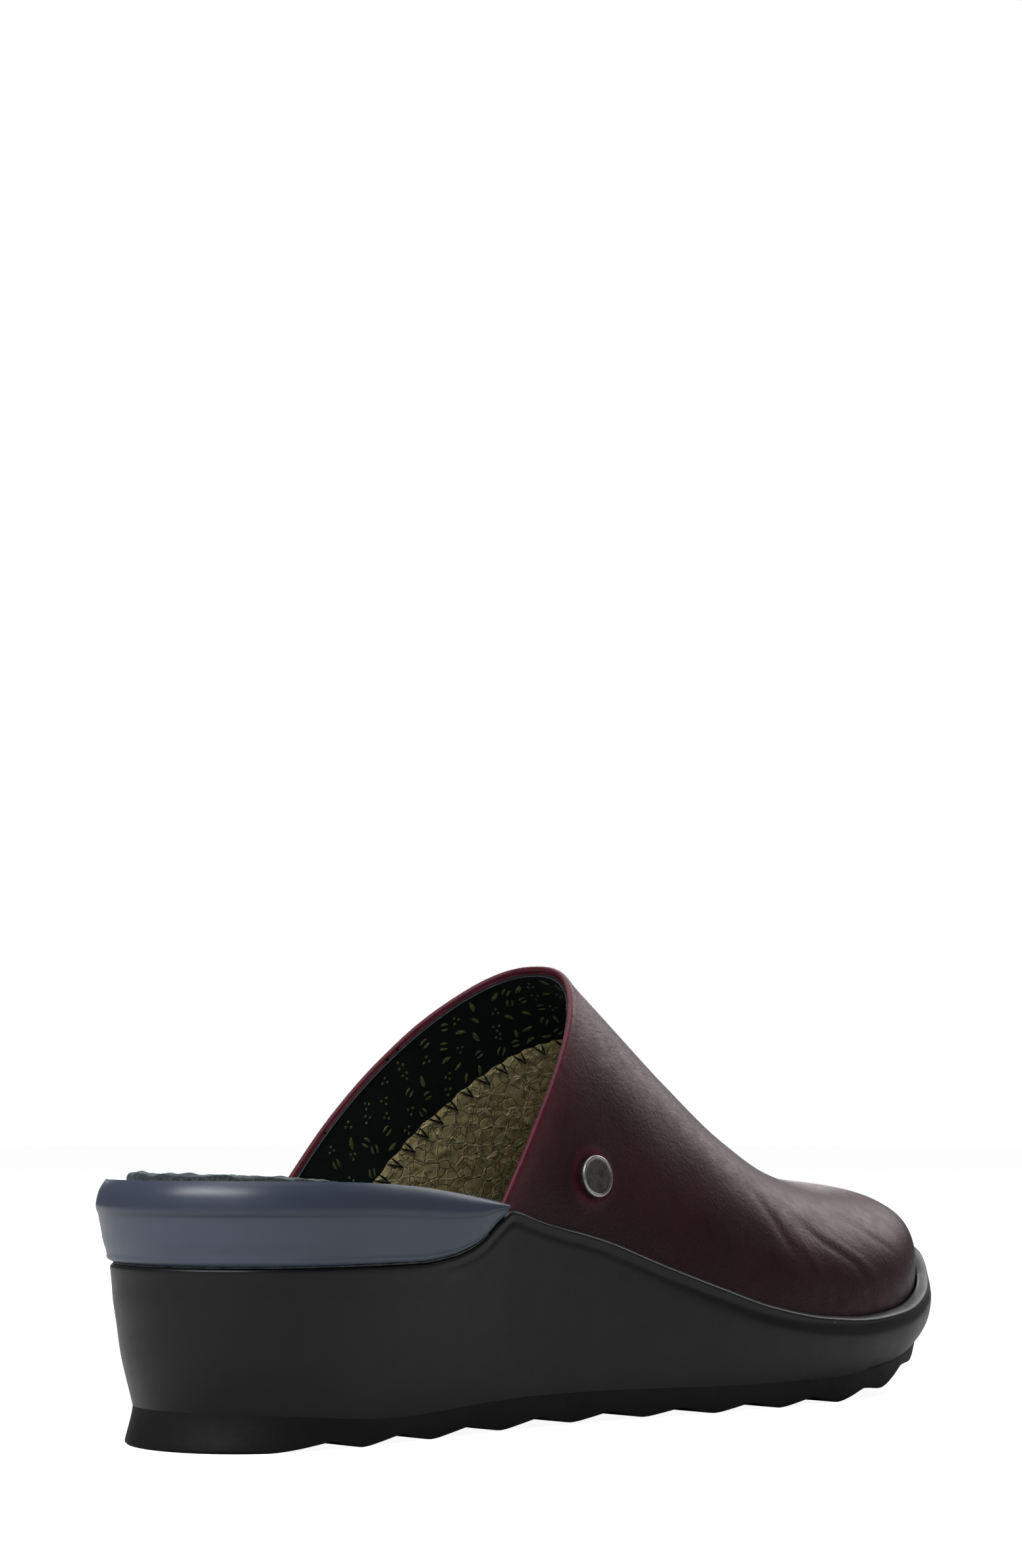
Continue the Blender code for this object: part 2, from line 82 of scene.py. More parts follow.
CLEARANCE = 0.3 * MM

# Sizes of what is added here
EDGE_ROLL = 0.8 * MM          # radius of the rolled edge of the opening
LEATHER = 1.3 * MM            # thickness of the outer leather
PIPING = 0.12 * MM            # radius of the fine line along the lining's edge
THREAD = 0.24 * MM            # radius of the zigzag thread
STITCH_PITCH = 5.4 * MM
STITCH_REACH = 5.2 * MM       # length of a stitch towards the toe
STITCH_BACK = 1.8 * MM        # how far it starts behind the border
LINING_BACK = LEATHER + 0.1 * MM  # depth of the linings' hidden face
VAMP_END = 0.93               # station where the olive lining ends
ROLL_HEIGHT = 0.3 * MM        # swell of the leather beside its rolled edge
ROLL_WIDTH = 2.6 * MM
DIMPLE_DEPTH = 0.12 * MM      # hollow under the button
HALO_HEIGHT = 0.22 * MM       # ring of raised leather round the button
SKIRT_OVER_BED = 0.6 * MM     # gap between the upper's hidden skirt and the bed
INNER_ROUNDING = 0.5 * MM     # inner edge of the midsole's rim
SEAM_GAP = 0.02 * MM          # gap between midsole and outsole
CELL_TABLE = 64               # cells before the crinkle pattern repeats
CELL_SHIFT = 0.75             # how far the cells stray from a plain grid
PRINT_ROWS = 5
PRINT_COLUMNS = 27
SHARP = math.radians(50)      # creases of a mesh sharper than this stay sharp
SIDE_ARC = 64 * MM            # way over the upper from sole to ridge at the ball
STATION_WAY = 350 * MM        # way along the upper for one unit of station

# Outline of the sole: share of length, centre, outer and inner fullness
PLAN = (
    (0, 0, 0.689, 0.689), (0.05, 0, 0.633, 0.633), (0.1, 0, 0.565, 0.565),
    (0.2, 0, 0.445, 0.441), (0.3, 0, 0.384, 0.368), (0.4, 0, 0.374, 0.337),
    (0.5, 0.002, 0.411, 0.353), (0.6, 0.008, 0.479, 0.426), (0.7, 0.019, 0.558, 0.511),
    (0.8, 0.032, 0.642, 0.579), (0.9, 0.045, 0.705, 0.621), (1, 0.058, 0.726, 0.647),
)

# Wedge: share of length, share of the drop from heel to ball, share of the toe rise
TOP_LINE = (
    (0, 1, 0), (0.07, 0.997, 0), (0.12, 0.988, 0), (0.16, 0.974, 0), (0.2, 0.95, 0),
    (0.25, 0.9, 0), (0.3, 0.838, 0), (0.34, 0.738, 0), (0.42, 0.59, 0), (0.49, 0.407, 0),
    (0.55, 0.256, 0), (0.61, 0.117, 0), (0.68, 0.026, 0), (0.74, 0, 0), (0.81, 0, 0.07),
    (0.87, 0, 0.26), (0.91, 0, 0.46), (0.95, 0, 0.82), (1, 0, 1),
)

# Ledge under the collar: share of the collar's length, share of the way up to the top
# line, share of the way that the collar has thinned to the lip
LEDGE_LINE = (
    (0, 0, 0), (0.6, 0, 0), (0.66, 0, 0.15), (0.79, 0.07, 0.88), (0.85, 0.16, 1),
    (0.9, 0.29, 1), (0.98, 0.68, 1), (1.04, 0.96, 1), (1.09, 1, 1),
)

# Seam over the outsole: share of length, share of its thickness, share of the toe spring
SEAM_LINE = (
    (0, 1.24, 0), (0.1, 1.06, 0), (0.19, 0.84, 0), (0.3, 1.05, 0), (0.44, 1.08, 0),
    (0.58, 0.94, 0), (0.7, 0.9, 0.02), (0.78, 0.78, 0.19), (0.87, 0.58, 0.54),
    (0.94, 0.46, 0.82), (1, 0.4, 1),
)

# Tread: share of length, share of the arch rise, share of the toe spring
TREAD_LINE = (
    (0, 0, 0), (0.23, 0, 0), (0.38, 1, 0), (0.46, 0.8, 0), (0.54, 0, 0), (0.71, 0, 0),
    (0.78, 0, 0.14), (0.86, 0, 0.51), (0.93, 0, 0.83), (1, 0, 1),
)

# Side of the midsole: share of its height, inset at heel, waist, ball and toe in shares
# of the lip width
SIDE = (
    (0, 2.33, 1.2, 1.08, 1.14), (0.16, 1.99, 0.97, 0.63, 0.68), (0.36, 1.59, 0.8, 0.23, 0.27),
    (0.58, 1.31, 0.68, 0.02, 0.05), (0.76, 1.08, 0.57, 0, 0), (0.9, 0.97, 0.48, 0.14, 0.16),
    (0.97, 0.91, 0.48, 0.34, 0.39), (1, 0.91, 0.59, 0.59, 0.64),
)
SIDE_PLACES = (0.1, 0.42, 0.72, 1.0)

# Raised bead along the top of the midsole and the hollow under it: share of length,
# bead in shares of its full height, hollow's depth, place below the top and width in mm
BEAD_LINE = (
    (0, 0, 0, 1.8, 0.8), (0.2, 0, 0, 1.8, 0.8), (0.25, 0.6, 0.18, 2, 0.8),
    (0.31, 0.9, 0.3, 2.3, 1), (0.45, 0.9, 0.26, 2.5, 1.1), (0.6, 0.9, 0.2, 2.8, 1.3),
    (0.8, 0.9, 0.14, 3, 1.5), (0.92, 0.8, 0.1, 3, 1.5), (1, 0.6, 0.06, 3, 1.5),
)
BEAD_HEIGHT = 0.22 * MM
BEAD_PLACE = 0.75 * MM        # below the top
BEAD_WIDTH = 0.7 * MM
TOP_ROUNDING = 0.75 * MM      # radius of the top's outer edge

# Outer face of the collar: share of its height, inset at the heel and at its front ends
# in shares of the lip width
COLLAR_SIDE = (
    (0, 1.2, 0.75), (0.02, 0.92, 0.62), (0.09, 0.7, 0.54), (0.22, 0.52, 0.47),
    (0.4, 0.33, 0.39), (0.54, 0.18, 0.32), (0.58, 0.14, 0.3), (0.62, 0.05, 0.26),
    (0.67, 0, 0.22), (0.76, 0.05, 0.22), (0.86, 0.19, 0.26), (0.93, 0.37, 0.35),
    (0.98, 0.54, 0.46), (1, 0.62, 0.52),
)

# How far the collar's top falls inwards below its outer edge, in mm
COLLAR_FALL = (0.45, 0.75, 0.95, 1.2)

# Corners of the strip of painted shade in the gap: mm deeper than the collar's edge, mm over the
# ledge
GAP_SHADE_CORNERS = ((0, 0.02), (0, 0.34), (1.2, 0.34), (1.2, 0.02))

# Edge of the outsole: share of its height, share of the flare, share of the bevel
EDGE = ((0, 1, 0.4), (0.04, 1, 0.06), (0.1, 0.95, 0), (0.5, 0.46, 0), (0.85, 0.08, 0), (1, 0, 0))

# Lugs and grooves: share of the pitch, share of the groove's depth
LUG = (
    (0, 0.64), (0.04, 0.6), (0.4, 0.03), (0.45, 0), (0.5, 0.02), (0.72, 0.27), (0.96, 0.6),
    (1, 0.64),
)

# Side and edge of the insole: extra inset in shares of the lip width, share of its
# thickness, share of its raised rim and its sinking, share of the lap over the collar
INSOLE_SIDE = (
    (0.2, 0, 0, 0), (0, 0.2, 0, 0), (0, 0.76, 0, 0), (0, 0.8, 0, 0.9), (0.02, 0.95, 0.3, 1),
    (0.1, 1, 0.8, 0.9), (0.4, 1, 1, 0.5), (0.95, 1, 0.75, 0), (2.4, 1, 0.1, 0),
)
INSOLE_LAP = 1.7 * MM

# Ridge of the upper: station, place, climb, fall, lean, outer and inner roundness
RIDGE = (
    (0.372, 0.47, 1, 0, 0, 2.35, 2.2),
    (0.43, 0.531, 0.787, 0, 0.005, 2.3, 2.15),
    (0.5, 0.603, 0.513, 0, 0.012, 2.2, 2.1),
    (0.58, 0.688, 0.215, 0, 0.025, 2.18, 2.15),
    (0.64, 0.756, 0.082, 0, 0.04, 2.25, 2.25),
    (0.7, 0.818, 0.035, 0, 0.052, 2.35, 2.3),
    (0.77, 0.882, 0.01, 0, 0.062, 2.4, 2.35),
    (0.83, 0.926, 0, 0.12, 0.066, 2.4, 2.35),
    (0.88, 0.955, 0, 0.3, 0.066, 2.35, 2.35),
    (0.92, 0.971, 0, 0.5, 0.064, 2.3, 2.3),
    (0.96, 0.98, 0, 0.74, 0.061, 2.2, 2.2),
    (1, 0.9836, 0, 1, 0.058, 2.1, 2.1),
)
BACK_SLANT = 0.8
BACK_SKEW = 0.026
BUTTON_AT = (0.427, -0.873)   # station and angle
OPENING = RIDGE[0][0]         # station of the opening's edge

# Creases of the leather: width in mm, height in mm (below 0 a trough), then the points
# that it runs through, each a station and an angle
CREASES = (
    (2.3, -0.14, (0.545, -0.56), (0.569, -0.659), (0.585, -0.77), (0.61, -0.894)),
    (2, 0.1, (0.56, -0.56), (0.583, -0.665), (0.602, -0.78), (0.624, -0.9)),
    (2.5, -0.12, (0.585, -0.56), (0.602, -0.659), (0.648, -0.758), (0.681, -0.955)),
    (2, 0.1, (0.602, -0.55), (0.622, -0.66), (0.664, -0.77), (0.693, -0.94)),
    (2.3, -0.08, (0.655, -0.53), (0.677, -0.61), (0.706, -0.721), (0.722, -0.82)),
    (2, 0.07, (0.672, -0.53), (0.695, -0.62), (0.722, -0.721)),
    (1.1, -0.19, (0.627, -0.894), (0.64, -0.968)),
    (1, -0.18, (0.665, -0.906), (0.681, -0.98)),
    (1, -0.16, (0.612, -0.9), (0.622, -0.97)),
    (1, -0.14, (0.693, -0.86), (0.706, -0.95)),
    (0.9, -0.12, (0.556, -0.6), (0.573, -0.69), (0.59, -0.8)),
    (0.8, -0.1, (0.578, -0.62), (0.592, -0.72), (0.6, -0.8), (0.618, -0.9)),
    (0.9, -0.12, (0.596, -0.6), (0.618, -0.7), (0.65, -0.78), (0.668, -0.87)),
    (0.8, -0.09, (0.628, -0.64), (0.66, -0.73), (0.69, -0.84)),
    (0.9, -0.1, (0.664, -0.56), (0.69, -0.66), (0.72, -0.76)),
    (0.7, -0.07, (0.64, -0.8), (0.655, -0.88), (0.664, -0.95)),
    (0.7, -0.08, (0.5, -0.42), (0.53, -0.4), (0.556, -0.36)),
    (0.7, -0.07, (0.47, -0.3), (0.5, -0.27), (0.53, -0.22)),
    (3.1, -0.07, (0.53, -0.35), (0.565, -0.2), (0.6, 0), (0.6, 0.25)),
    (2.6, 0.06, (0.552, -0.35), (0.588, -0.2), (0.622, 0), (0.622, 0.25)),
    (2.3, -0.12, (0.552, 0.56), (0.573, 0.66), (0.592, 0.77), (0.612, 0.9)),
    (2, 0.09, (0.567, 0.56), (0.588, 0.67), (0.607, 0.78), (0.628, 0.9)),
    (2.5, -0.1, (0.6, 0.56), (0.618, 0.66), (0.652, 0.76), (0.684, 0.94)),
    (2, 0.08, (0.616, 0.56), (0.636, 0.66), (0.67, 0.77), (0.7, 0.93)),
)

# How far the rolled edge stands out past the opening of the solid: angle, mm
EDGE_OUT = ((-1, 0.2), (0, 0.4), (0.5, 0.8), (1, 2.2))

# Border between textile and olive lining: angle without its sign, station
BORDER_LINE = ((0, 0.446), (0.3, 0.44), (0.6, 0.432), (0.85, 0.424), (1, 0.42))

# Lamps: name, place, target, width, height, power in watts
LIGHTS = (
    ("top_light", (0.15, 0.25, 1.5), (0, 0, 0.03), 1.2, 1.2, 11),
    ("back_light", (0.9, 1.1, 0.75), (0.05, 0, 0.05), 1.1, 0.8, 17),
    ("key_light", (-0.95, -0.16, 0.95), (-0.05, 0, 0.05), 1.0, 0.4, 10),
    ("toe_light", (1.2, 0, 0.8), (0.08, -0.03, 0.03), 0.8, 0.7, 5),
)
FLOOR_REACH = 6.0
FLOOR_GLOW = 0.93             # floor brightness that only the camera sees
SURROUND_GLOW = 0.1           # surround's brightness on the shoe, white to the camera
CAMERA_PLACE = (-0.5076, -0.449, 0.0658)
CAMERA_TURN = math.radians(47.66)
CAMERA_CLIMB = math.radians(6.81)
CAMERA_LENS = 65.25


def spread(low, high, count):
    """Evenly spread numbers, both ends included."""
    return np.linspace(low, high, count)


def hill(away, width):
    """Soft bump of height one, by the way from its middle."""
    return np.exp(-(away / width) ** 2)


def curve_points(table, column):
    """First column of a table, another column, and the steps of the first."""
    xs, ys = np.array([(row[0], row[column]) for row in table], float).T
    return xs, ys, np.diff(xs)


def interval(x, xs):
    """Places clipped to a table's range, and the row before each."""
    x = np.clip(x, xs[0], xs[-1])
    return x, np.minimum(np.searchsorted(xs, x, side="right") - 1, len(xs) - 2)


def smooth(table, column):
    """Return a natural cubic curve through a column of a table, over its first column."""
    xs, ys, step = curve_points(table, column)
    matrix = np.eye(len(xs))
    right = np.zeros(len(xs))
    for i in range(1, len(xs) - 1):
        matrix[i, i - 1:i + 2] = step[i - 1], 2 * (step[i - 1] + step[i]), step[i]
        right[i] = 6 * ((ys[i + 1] - ys[i]) / step[i] - (ys[i] - ys[i - 1]) / step[i - 1])
    bend = np.linalg.solve(matrix, right)

    def value(x):
        x, i = interval(x, xs)
        h = step[i]
        a = (xs[i + 1] - x) / h
        b = 1 - a
        curve = ((a ** 3 - a) * bend[i] + (b ** 3 - b) * bend[i + 1]) * h * h / 6
        return a * ys[i] + b * ys[i + 1] + curve

    return value


def steady(table, column):
    """Return a curve through a column of a table that never overshoots its points."""
    xs, ys, step = curve_points(table, column)
    slope = np.diff(ys) / step
    tangent = np.zeros(len(xs))
    for i in range(1, len(xs) - 1):
        if slope[i - 1] * slope[i] > 0:
            w1 = 2 * step[i] + step[i - 1]
            w2 = step[i] + 2 * step[i - 1]
            tangent[i] = (w1 + w2) / (w1 / slope[i - 1] + w2 / slope[i])

    def value(x):
        x, i = interval(x, xs)
        h = step[i]
        t = (x - xs[i]) / h
        near = (1 + 2 * t) * (1 - t) ** 2 * ys[i] + t * (1 - t) ** 2 * h * tangent[i]
        far = t * t * (3 - 2 * t) * ys[i + 1] - t * t * (1 - t) * h * tangent[i + 1]
        return near + far

    return value


plan_centre, plan_outer, plan_inner = [smooth(PLAN, column) for column in (1, 2, 3)]
top_drop, top_toe = steady(TOP_LINE, 1), steady(TOP_LINE, 2)
ledge_climb, collar_thinning = steady(LEDGE_LINE, 1), steady(LEDGE_LINE, 2)
seam_thickness = smooth(SEAM_LINE, 1)
seam_spring = steady(SEAM_LINE, 2)
tread_arch, tread_spring = steady(TREAD_LINE, 1), steady(TREAD_LINE, 2)
bead_curves = [steady(BEAD_LINE, column) for column in range(1, 5)]
lug_lift = steady(LUG, 1)
border_station = smooth(BORDER_LINE, 1)
edge_out = smooth(EDGE_OUT, 1)
ridge_curves = [smooth(RIDGE, column) for column in range(1, 7)]


def share_at(station):
    """Share of the length at a station, 0 at the heel and 1 or -1 at the toe."""
    return (1 - np.cos(math.pi * np.abs(station))) / 2


def station_at(share):
    """Station, without its sign, at a share of the length."""
    return np.arccos(1 - 2 * np.clip(share, 0.0, 1.0)) / math.pi


def raw_outline(station):
    """Outline measured from the heel: station below 0 on the outer side."""
    station = np.asarray(station, float)
    share = share_at(station)
    full = np.where(station < 0, plan_outer(share), plan_inner(share))
    across = np.sin(math.pi * station) * full + plan_centre(share)
    return np.stack([share * LENGTH, across * BALL_WIDTH], axis=-1)


around = raw_outline(spread(-1, 1, 4001))
PLAN_CENTRE = (around.min(axis=0) + around.max(axis=0)) / 2


def outline(station):
    """Point of the outline in the row frame."""
    return raw_outline(station) - PLAN_CENTRE


def inward(station):
    """Unit vector in plan, square to the outline and pointing into the shoe."""
    tiny = 1e-4
    along = outline(station + tiny) - outline(station - tiny)
    along /= np.linalg.norm(along, axis=-1, keepdims=True)
    return np.stack([along[..., 1], -along[..., 0]], axis=-1)


def plan(station, inset):
    """Point in plan, a given distance inside the outline."""
    return outline(station) + inward(station) * np.asarray(inset)[..., None]


def rim_height(share):
    """Top of the collar at the heel and of the sole's rim from the waist to the toe."""
    drop = (HEEL_HEIGHT - FOREFOOT_HEIGHT) * top_drop(share)
    return FOREFOOT_HEIGHT + drop + TOE_RISE * top_toe(share)


def bed_height(share):
    """Surface inside the rim that carries the insole."""
    drop = (HEEL_HEIGHT - FOREFOOT_HEIGHT) * top_drop(share)
    return FOREFOOT_HEIGHT + drop - LIP_DEPTH + BED_TOE_SPRING * top_toe(share)


def ledge_share(share):
    """Share of the way from the ledge to the top line, which climbs at the collar's ends."""
    return ledge_climb(share * LENGTH / COLLAR_END)


def ledge_height(share):
    """Ledge under the collar, which climbs to meet the top line at the waist."""
    mix = ledge_share(share)
    return LEDGE_HEIGHT * (1 - mix) + rim_height(share) * mix


def seam_height(share):
    """Joint between midsole and outsole."""
    return OUTSOLE_THICKNESS * seam_thickness(share) + TOE_SPRING * seam_spring(share)


def tread_height(share):
    """Plain surface that the lugs touch."""
    return ARCH_RISE * tread_arch(share) + TOE_SPRING * tread_spring(share)


def side_insets(share, heights):
    """Inset of the midsole's side: one row for each share, one column for each height."""
    places = [smooth(tuple(zip(SIDE_PLACES, row[1:])), 1)(share) for row in SIDE]
    mix = []
    for level in range(len(SIDE)):
        peak = tuple((row[0], float(i == level)) for i, row in enumerate(SIDE))
        mix.append(smooth(peak, 1)(heights))
    return np.einsum("lr,lh->rh", np.array(places), np.array(mix)) * LIP_WIDTH


def collar_reach(share):
    """Inner face of the collar, which thins towards its front ends."""
    thin = collar_thinning(share * LENGTH / COLLAR_END)
    return COLLAR_INSET * (1 - thin) + LIP_WIDTH * thin


def foot_station_at(station, angle):
    """Station where a row of the upper meets the sole: further back on the inner side."""
    skew = BACK_SKEW * (1 - station) / (1 - OPENING)
    return np.where(angle < 0, station, station - skew)


def upper_point(station, angle):
    """Plain outer surface of the upper, from -1 on the outer side to 1 on the inner side."""
    station, angle = np.broadcast_arrays(station, angle)
    place, climb, fall, lean, outer, inner = [curve(station) for curve in ridge_curves]
    side = np.where(angle < 0, -1.0, 1.0)
    foot_station = foot_station_at(station, angle)
    inset = np.full(station.shape, LIP_WIDTH + CLEARANCE)
    foot = plan(side * foot_station, inset)
    foot_z = rim_height(share_at(foot_station)) - SKIRT_DROP
    toe_drop = TOE_HEIGHT - (rim_height(1.0) - SKIRT_DROP)
    top_z = TOE_HEIGHT + (INSTEP_HEIGHT - TOE_HEIGHT) * climb - toe_drop * fall
    power = 2 / np.where(angle < 0, outer, inner)
    turn = (1 - np.abs(angle)) * math.pi / 2
    up = np.sin(turn) ** power
    over = 1 - np.clip(np.cos(turn), 0, 1) ** power
    ahead = BACK_SLANT * up + (1 - BACK_SLANT) * np.sin(turn) ** 2
    swell = SIDE_SWELL * np.sin(2 * turn) * (1 - fall)
    x = foot[..., 0] + (place * LENGTH - PLAN_CENTRE[0] - foot[..., 0]) * ahead
    y = foot[..., 1] + (lean * BALL_WIDTH - PLAN_CENTRE[1] - foot[..., 1]) * over + side * swell
    z = foot_z + (top_z - foot_z) * up
    return np.stack([x, y, z], axis=-1)


def unit(vectors):
    """Vectors scaled to length one."""
    return vectors / np.maximum(np.linalg.norm(vectors, axis=-1, keepdims=True), 1e-12)


def upper_axes(station, angle):
    """Ways along and across the upper, for one unit of station and of angle."""
    tiny = 1e-3
    station, angle = np.broadcast_arrays(station, angle)
    station = np.clip(station, OPENING + tiny, 1 - 3 * tiny)
    angle = np.clip(angle, -1 + 2.5 * tiny, 1 - 2.5 * tiny)
    along = upper_point(station + tiny, angle) - upper_point(station - tiny, angle)
    across = upper_point(station, angle + tiny) - upper_point(station, angle - tiny)
    return along / (2 * tiny), across / (2 * tiny)


def upper_normal(station, angle):
    """Outward unit vector of the upper's plain surface."""
    along, across = upper_axes(station, angle)
    return unit(np.cross(along, across))


def rolling(points, size, seed):
    """Soft even waves of about one unit of height, the same each run."""
    rng = np.random.default_rng(seed)
    total = np.zeros(points.shape[:-1])
    for _ in range(9):
        way = rng.normal(size=3)
        way *= rng.uniform(0.7, 1.5) * 2 * math.pi / (size * np.linalg.norm(way))
        total += np.sin(points @ way + rng.uniform(0, 2 * math.pi))
    return total / 3


def cell_pattern(u, v, seed):
    """Distance to the nearest border of unit cells, and the tilt of each cell's face."""
    rng = np.random.default_rng(seed)
    shifts = rng.uniform(-0.5, 0.5, size=(CELL_TABLE, CELL_TABLE, 2)) * CELL_SHIFT
    tilts = rng.uniform(-1, 1, size=(CELL_TABLE, CELL_TABLE, 2))
    first = np.full(u.shape, 9.0)
    second = np.full(u.shape, 9.0)
    tilt = np.zeros(u.shape)
    base_u = np.floor(u).astype(int)
    base_v = np.floor(v).astype(int)
    for du in (-1, 0, 1):
        for dv in (-1, 0, 1):
            index = (base_u + du) % CELL_TABLE, (base_v + dv) % CELL_TABLE
            way_u = u - (base_u + du + 0.5 + shifts[index][..., 0])
            way_v = v - (base_v + dv + 0.5 + shifts[index][..., 1])
            away = np.hypot(way_u, way_v)
            closer = away < first
            second = np.where(closer, first, np.minimum(second, away))
            slope = way_u * tilts[index][..., 0] + way_v * tilts[index][..., 1]
            tilt = np.where(closer, slope, tilt)
            first = np.minimum(first, away)
    return second - first, tilt


def crease_height(station, angle):
    """Height of the creases over the plain leather, in metres."""
    u = station * STATION_WAY
    v = angle * SIDE_ARC
    total = np.zeros(np.broadcast(u, v).shape)
    for width, height, *places in CREASES:
        points = np.array([(s * STATION_WAY, a * SIDE_ARC) for s, a in places])
        nearest = np.full(total.shape, 1.0)
        along = np.zeros(total.shape)
        lengths = np.linalg.norm(np.diff(points, axis=0), axis=1)
        done = 0.0
        for start, end, length in zip(points[:-1], points[1:], lengths):
            way = (end - start) / length
            t = np.clip((u - start[0]) * way[0] + (v - start[1]) * way[1], 0, length)
            away = np.hypot(u - start[0] - way[0] * t, v - start[1] - way[1] * t)
            closer = away < nearest
            nearest = np.where(closer, away, nearest)
            along = np.where(closer, done + t, along)
            done += length
        fade = np.sin(math.pi * np.clip(along / done, 0.0, 1.0)) ** 0.6
        total += height * MM * fade * hill(nearest, width * MM)
    return total


def patch(grid, start):
    """Faces of an open grid of points whose first point has the index start."""
    rows, columns = grid.shape[:2]
    index = np.arange(rows * columns).reshape(rows, columns) + start
    corners = (index[:-1, :-1], index[:-1, 1:], index[1:, 1:], index[1:, :-1])
    return np.stack(corners, axis=-1).reshape(-1, 4).tolist()


def link(name, data):
    """New object in the scene."""
    made = bpy.data.objects.new(name, data)
    bpy.context.collection.objects.link(made)
    return made


def make(name, grids, finish, fans=(), fields=None):
    """Join grids of points into one closed, smooth piece that rides on the shoe."""
    points = np.concatenate([grid.reshape(-1, 3) for grid in grids])
    faces = []
    start = 0
    for grid in grids:
        faces += patch(grid, start)
        start += grid.shape[0] * grid.shape[1]
    for fan in fans:
        faces.append(list(range(start, start + len(fan))))
        points = np.concatenate([points, fan])
        start += len(fan)
    mesh = bpy.data.meshes.new(name)
    mesh.from_pydata(points.tolist(), [], faces)
    for field, values in (fields or {}).items():
        full = np.zeros(len(points))
        full[:np.size(values)] = np.ravel(values)
        layer = mesh.attributes.new(field, "FLOAT", "POINT")
        layer.data.foreach_set("value", full.astype(np.float32))
    bm = bmesh.new()
    bm.from_mesh(mesh)
    bmesh.ops.remove_doubles(bm, verts=bm.verts, dist=2e-6)
    bmesh.ops.dissolve_degenerate(bm, edges=bm.edges, dist=1e-7)
    bmesh.ops.triangulate(bm, faces=[face for face in bm.faces if len(face.verts) > 4])
    bmesh.ops.recalc_face_normals(bm, faces=bm.faces)
    bm.to_mesh(mesh)
    bm.free()
    mesh.shade_smooth()
    mesh.set_sharp_from_angle(angle=SHARP)
    mesh.materials.append(finish)
    piece = link(name, mesh)
    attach(piece, "root")
    return piece


def beside(*grids):
    """Grids joined side by side."""
    return np.concatenate(grids, axis=1)


def ring_grid(rings):
    """Close each row of a grid by repeating its first point."""
    return beside(rings, rings[:, :1])


def closed_sheet(front, back, nose=None):
    """Grids and fans of a closed sheet between two grids, with an optional round nose."""
    sides = [np.stack([front[:, side], back[:, side]]) for side in (0, -1)]
    if nose is None:
        ends = [np.stack([front[end], back[end]]) for end in (0, -1)]
        return [front, back, *ends, *sides], []
    turn = np.concatenate([front[:1], nose, back[:1]])
    return [front, back, turn, *sides], [turn[:, 0], turn[:, -1]]


def tube(points, radius, sides=8):
    """Grid of a round tube along a line of points, drawn shut at its ends."""
    way = unit(np.gradient(points, axis=0))
    side = unit(np.cross(way, (0.31, 0.22, 0.92)))
    lift = np.cross(way, side)
    turn = spread(0, 2 * math.pi, sides + 1)[None, :, None]
    reach = np.full((len(points), 1, 1), radius)
    reach[[0, -1]] = 0.0
    return points[:, None] + reach * (side[:, None] * np.cos(turn) + lift[:, None] * np.sin(turn))


def tone(red, green, blue):
    """Linear colour from 0 to 255 screen values."""
    values = [v / 255 for v in (red, green, blue)]
    return [v / 12.92 if v <= 0.04045 else ((v + 0.055) / 1.055) ** 2.4 for v in values] + [1.0]


def add(tree, kind, inputs=None, **settings):
    """Add a node, set its properties, and link or set its inputs."""
    made = tree.nodes.new(kind)
    for key, value in settings.items():
        setattr(made, key, value)
    for key, value in (inputs or {}).items():
        if isinstance(value, bpy.types.NodeSocket):
            tree.links.new(value, made.inputs[key])
        else:
            made.inputs[key].default_value = value
    return made


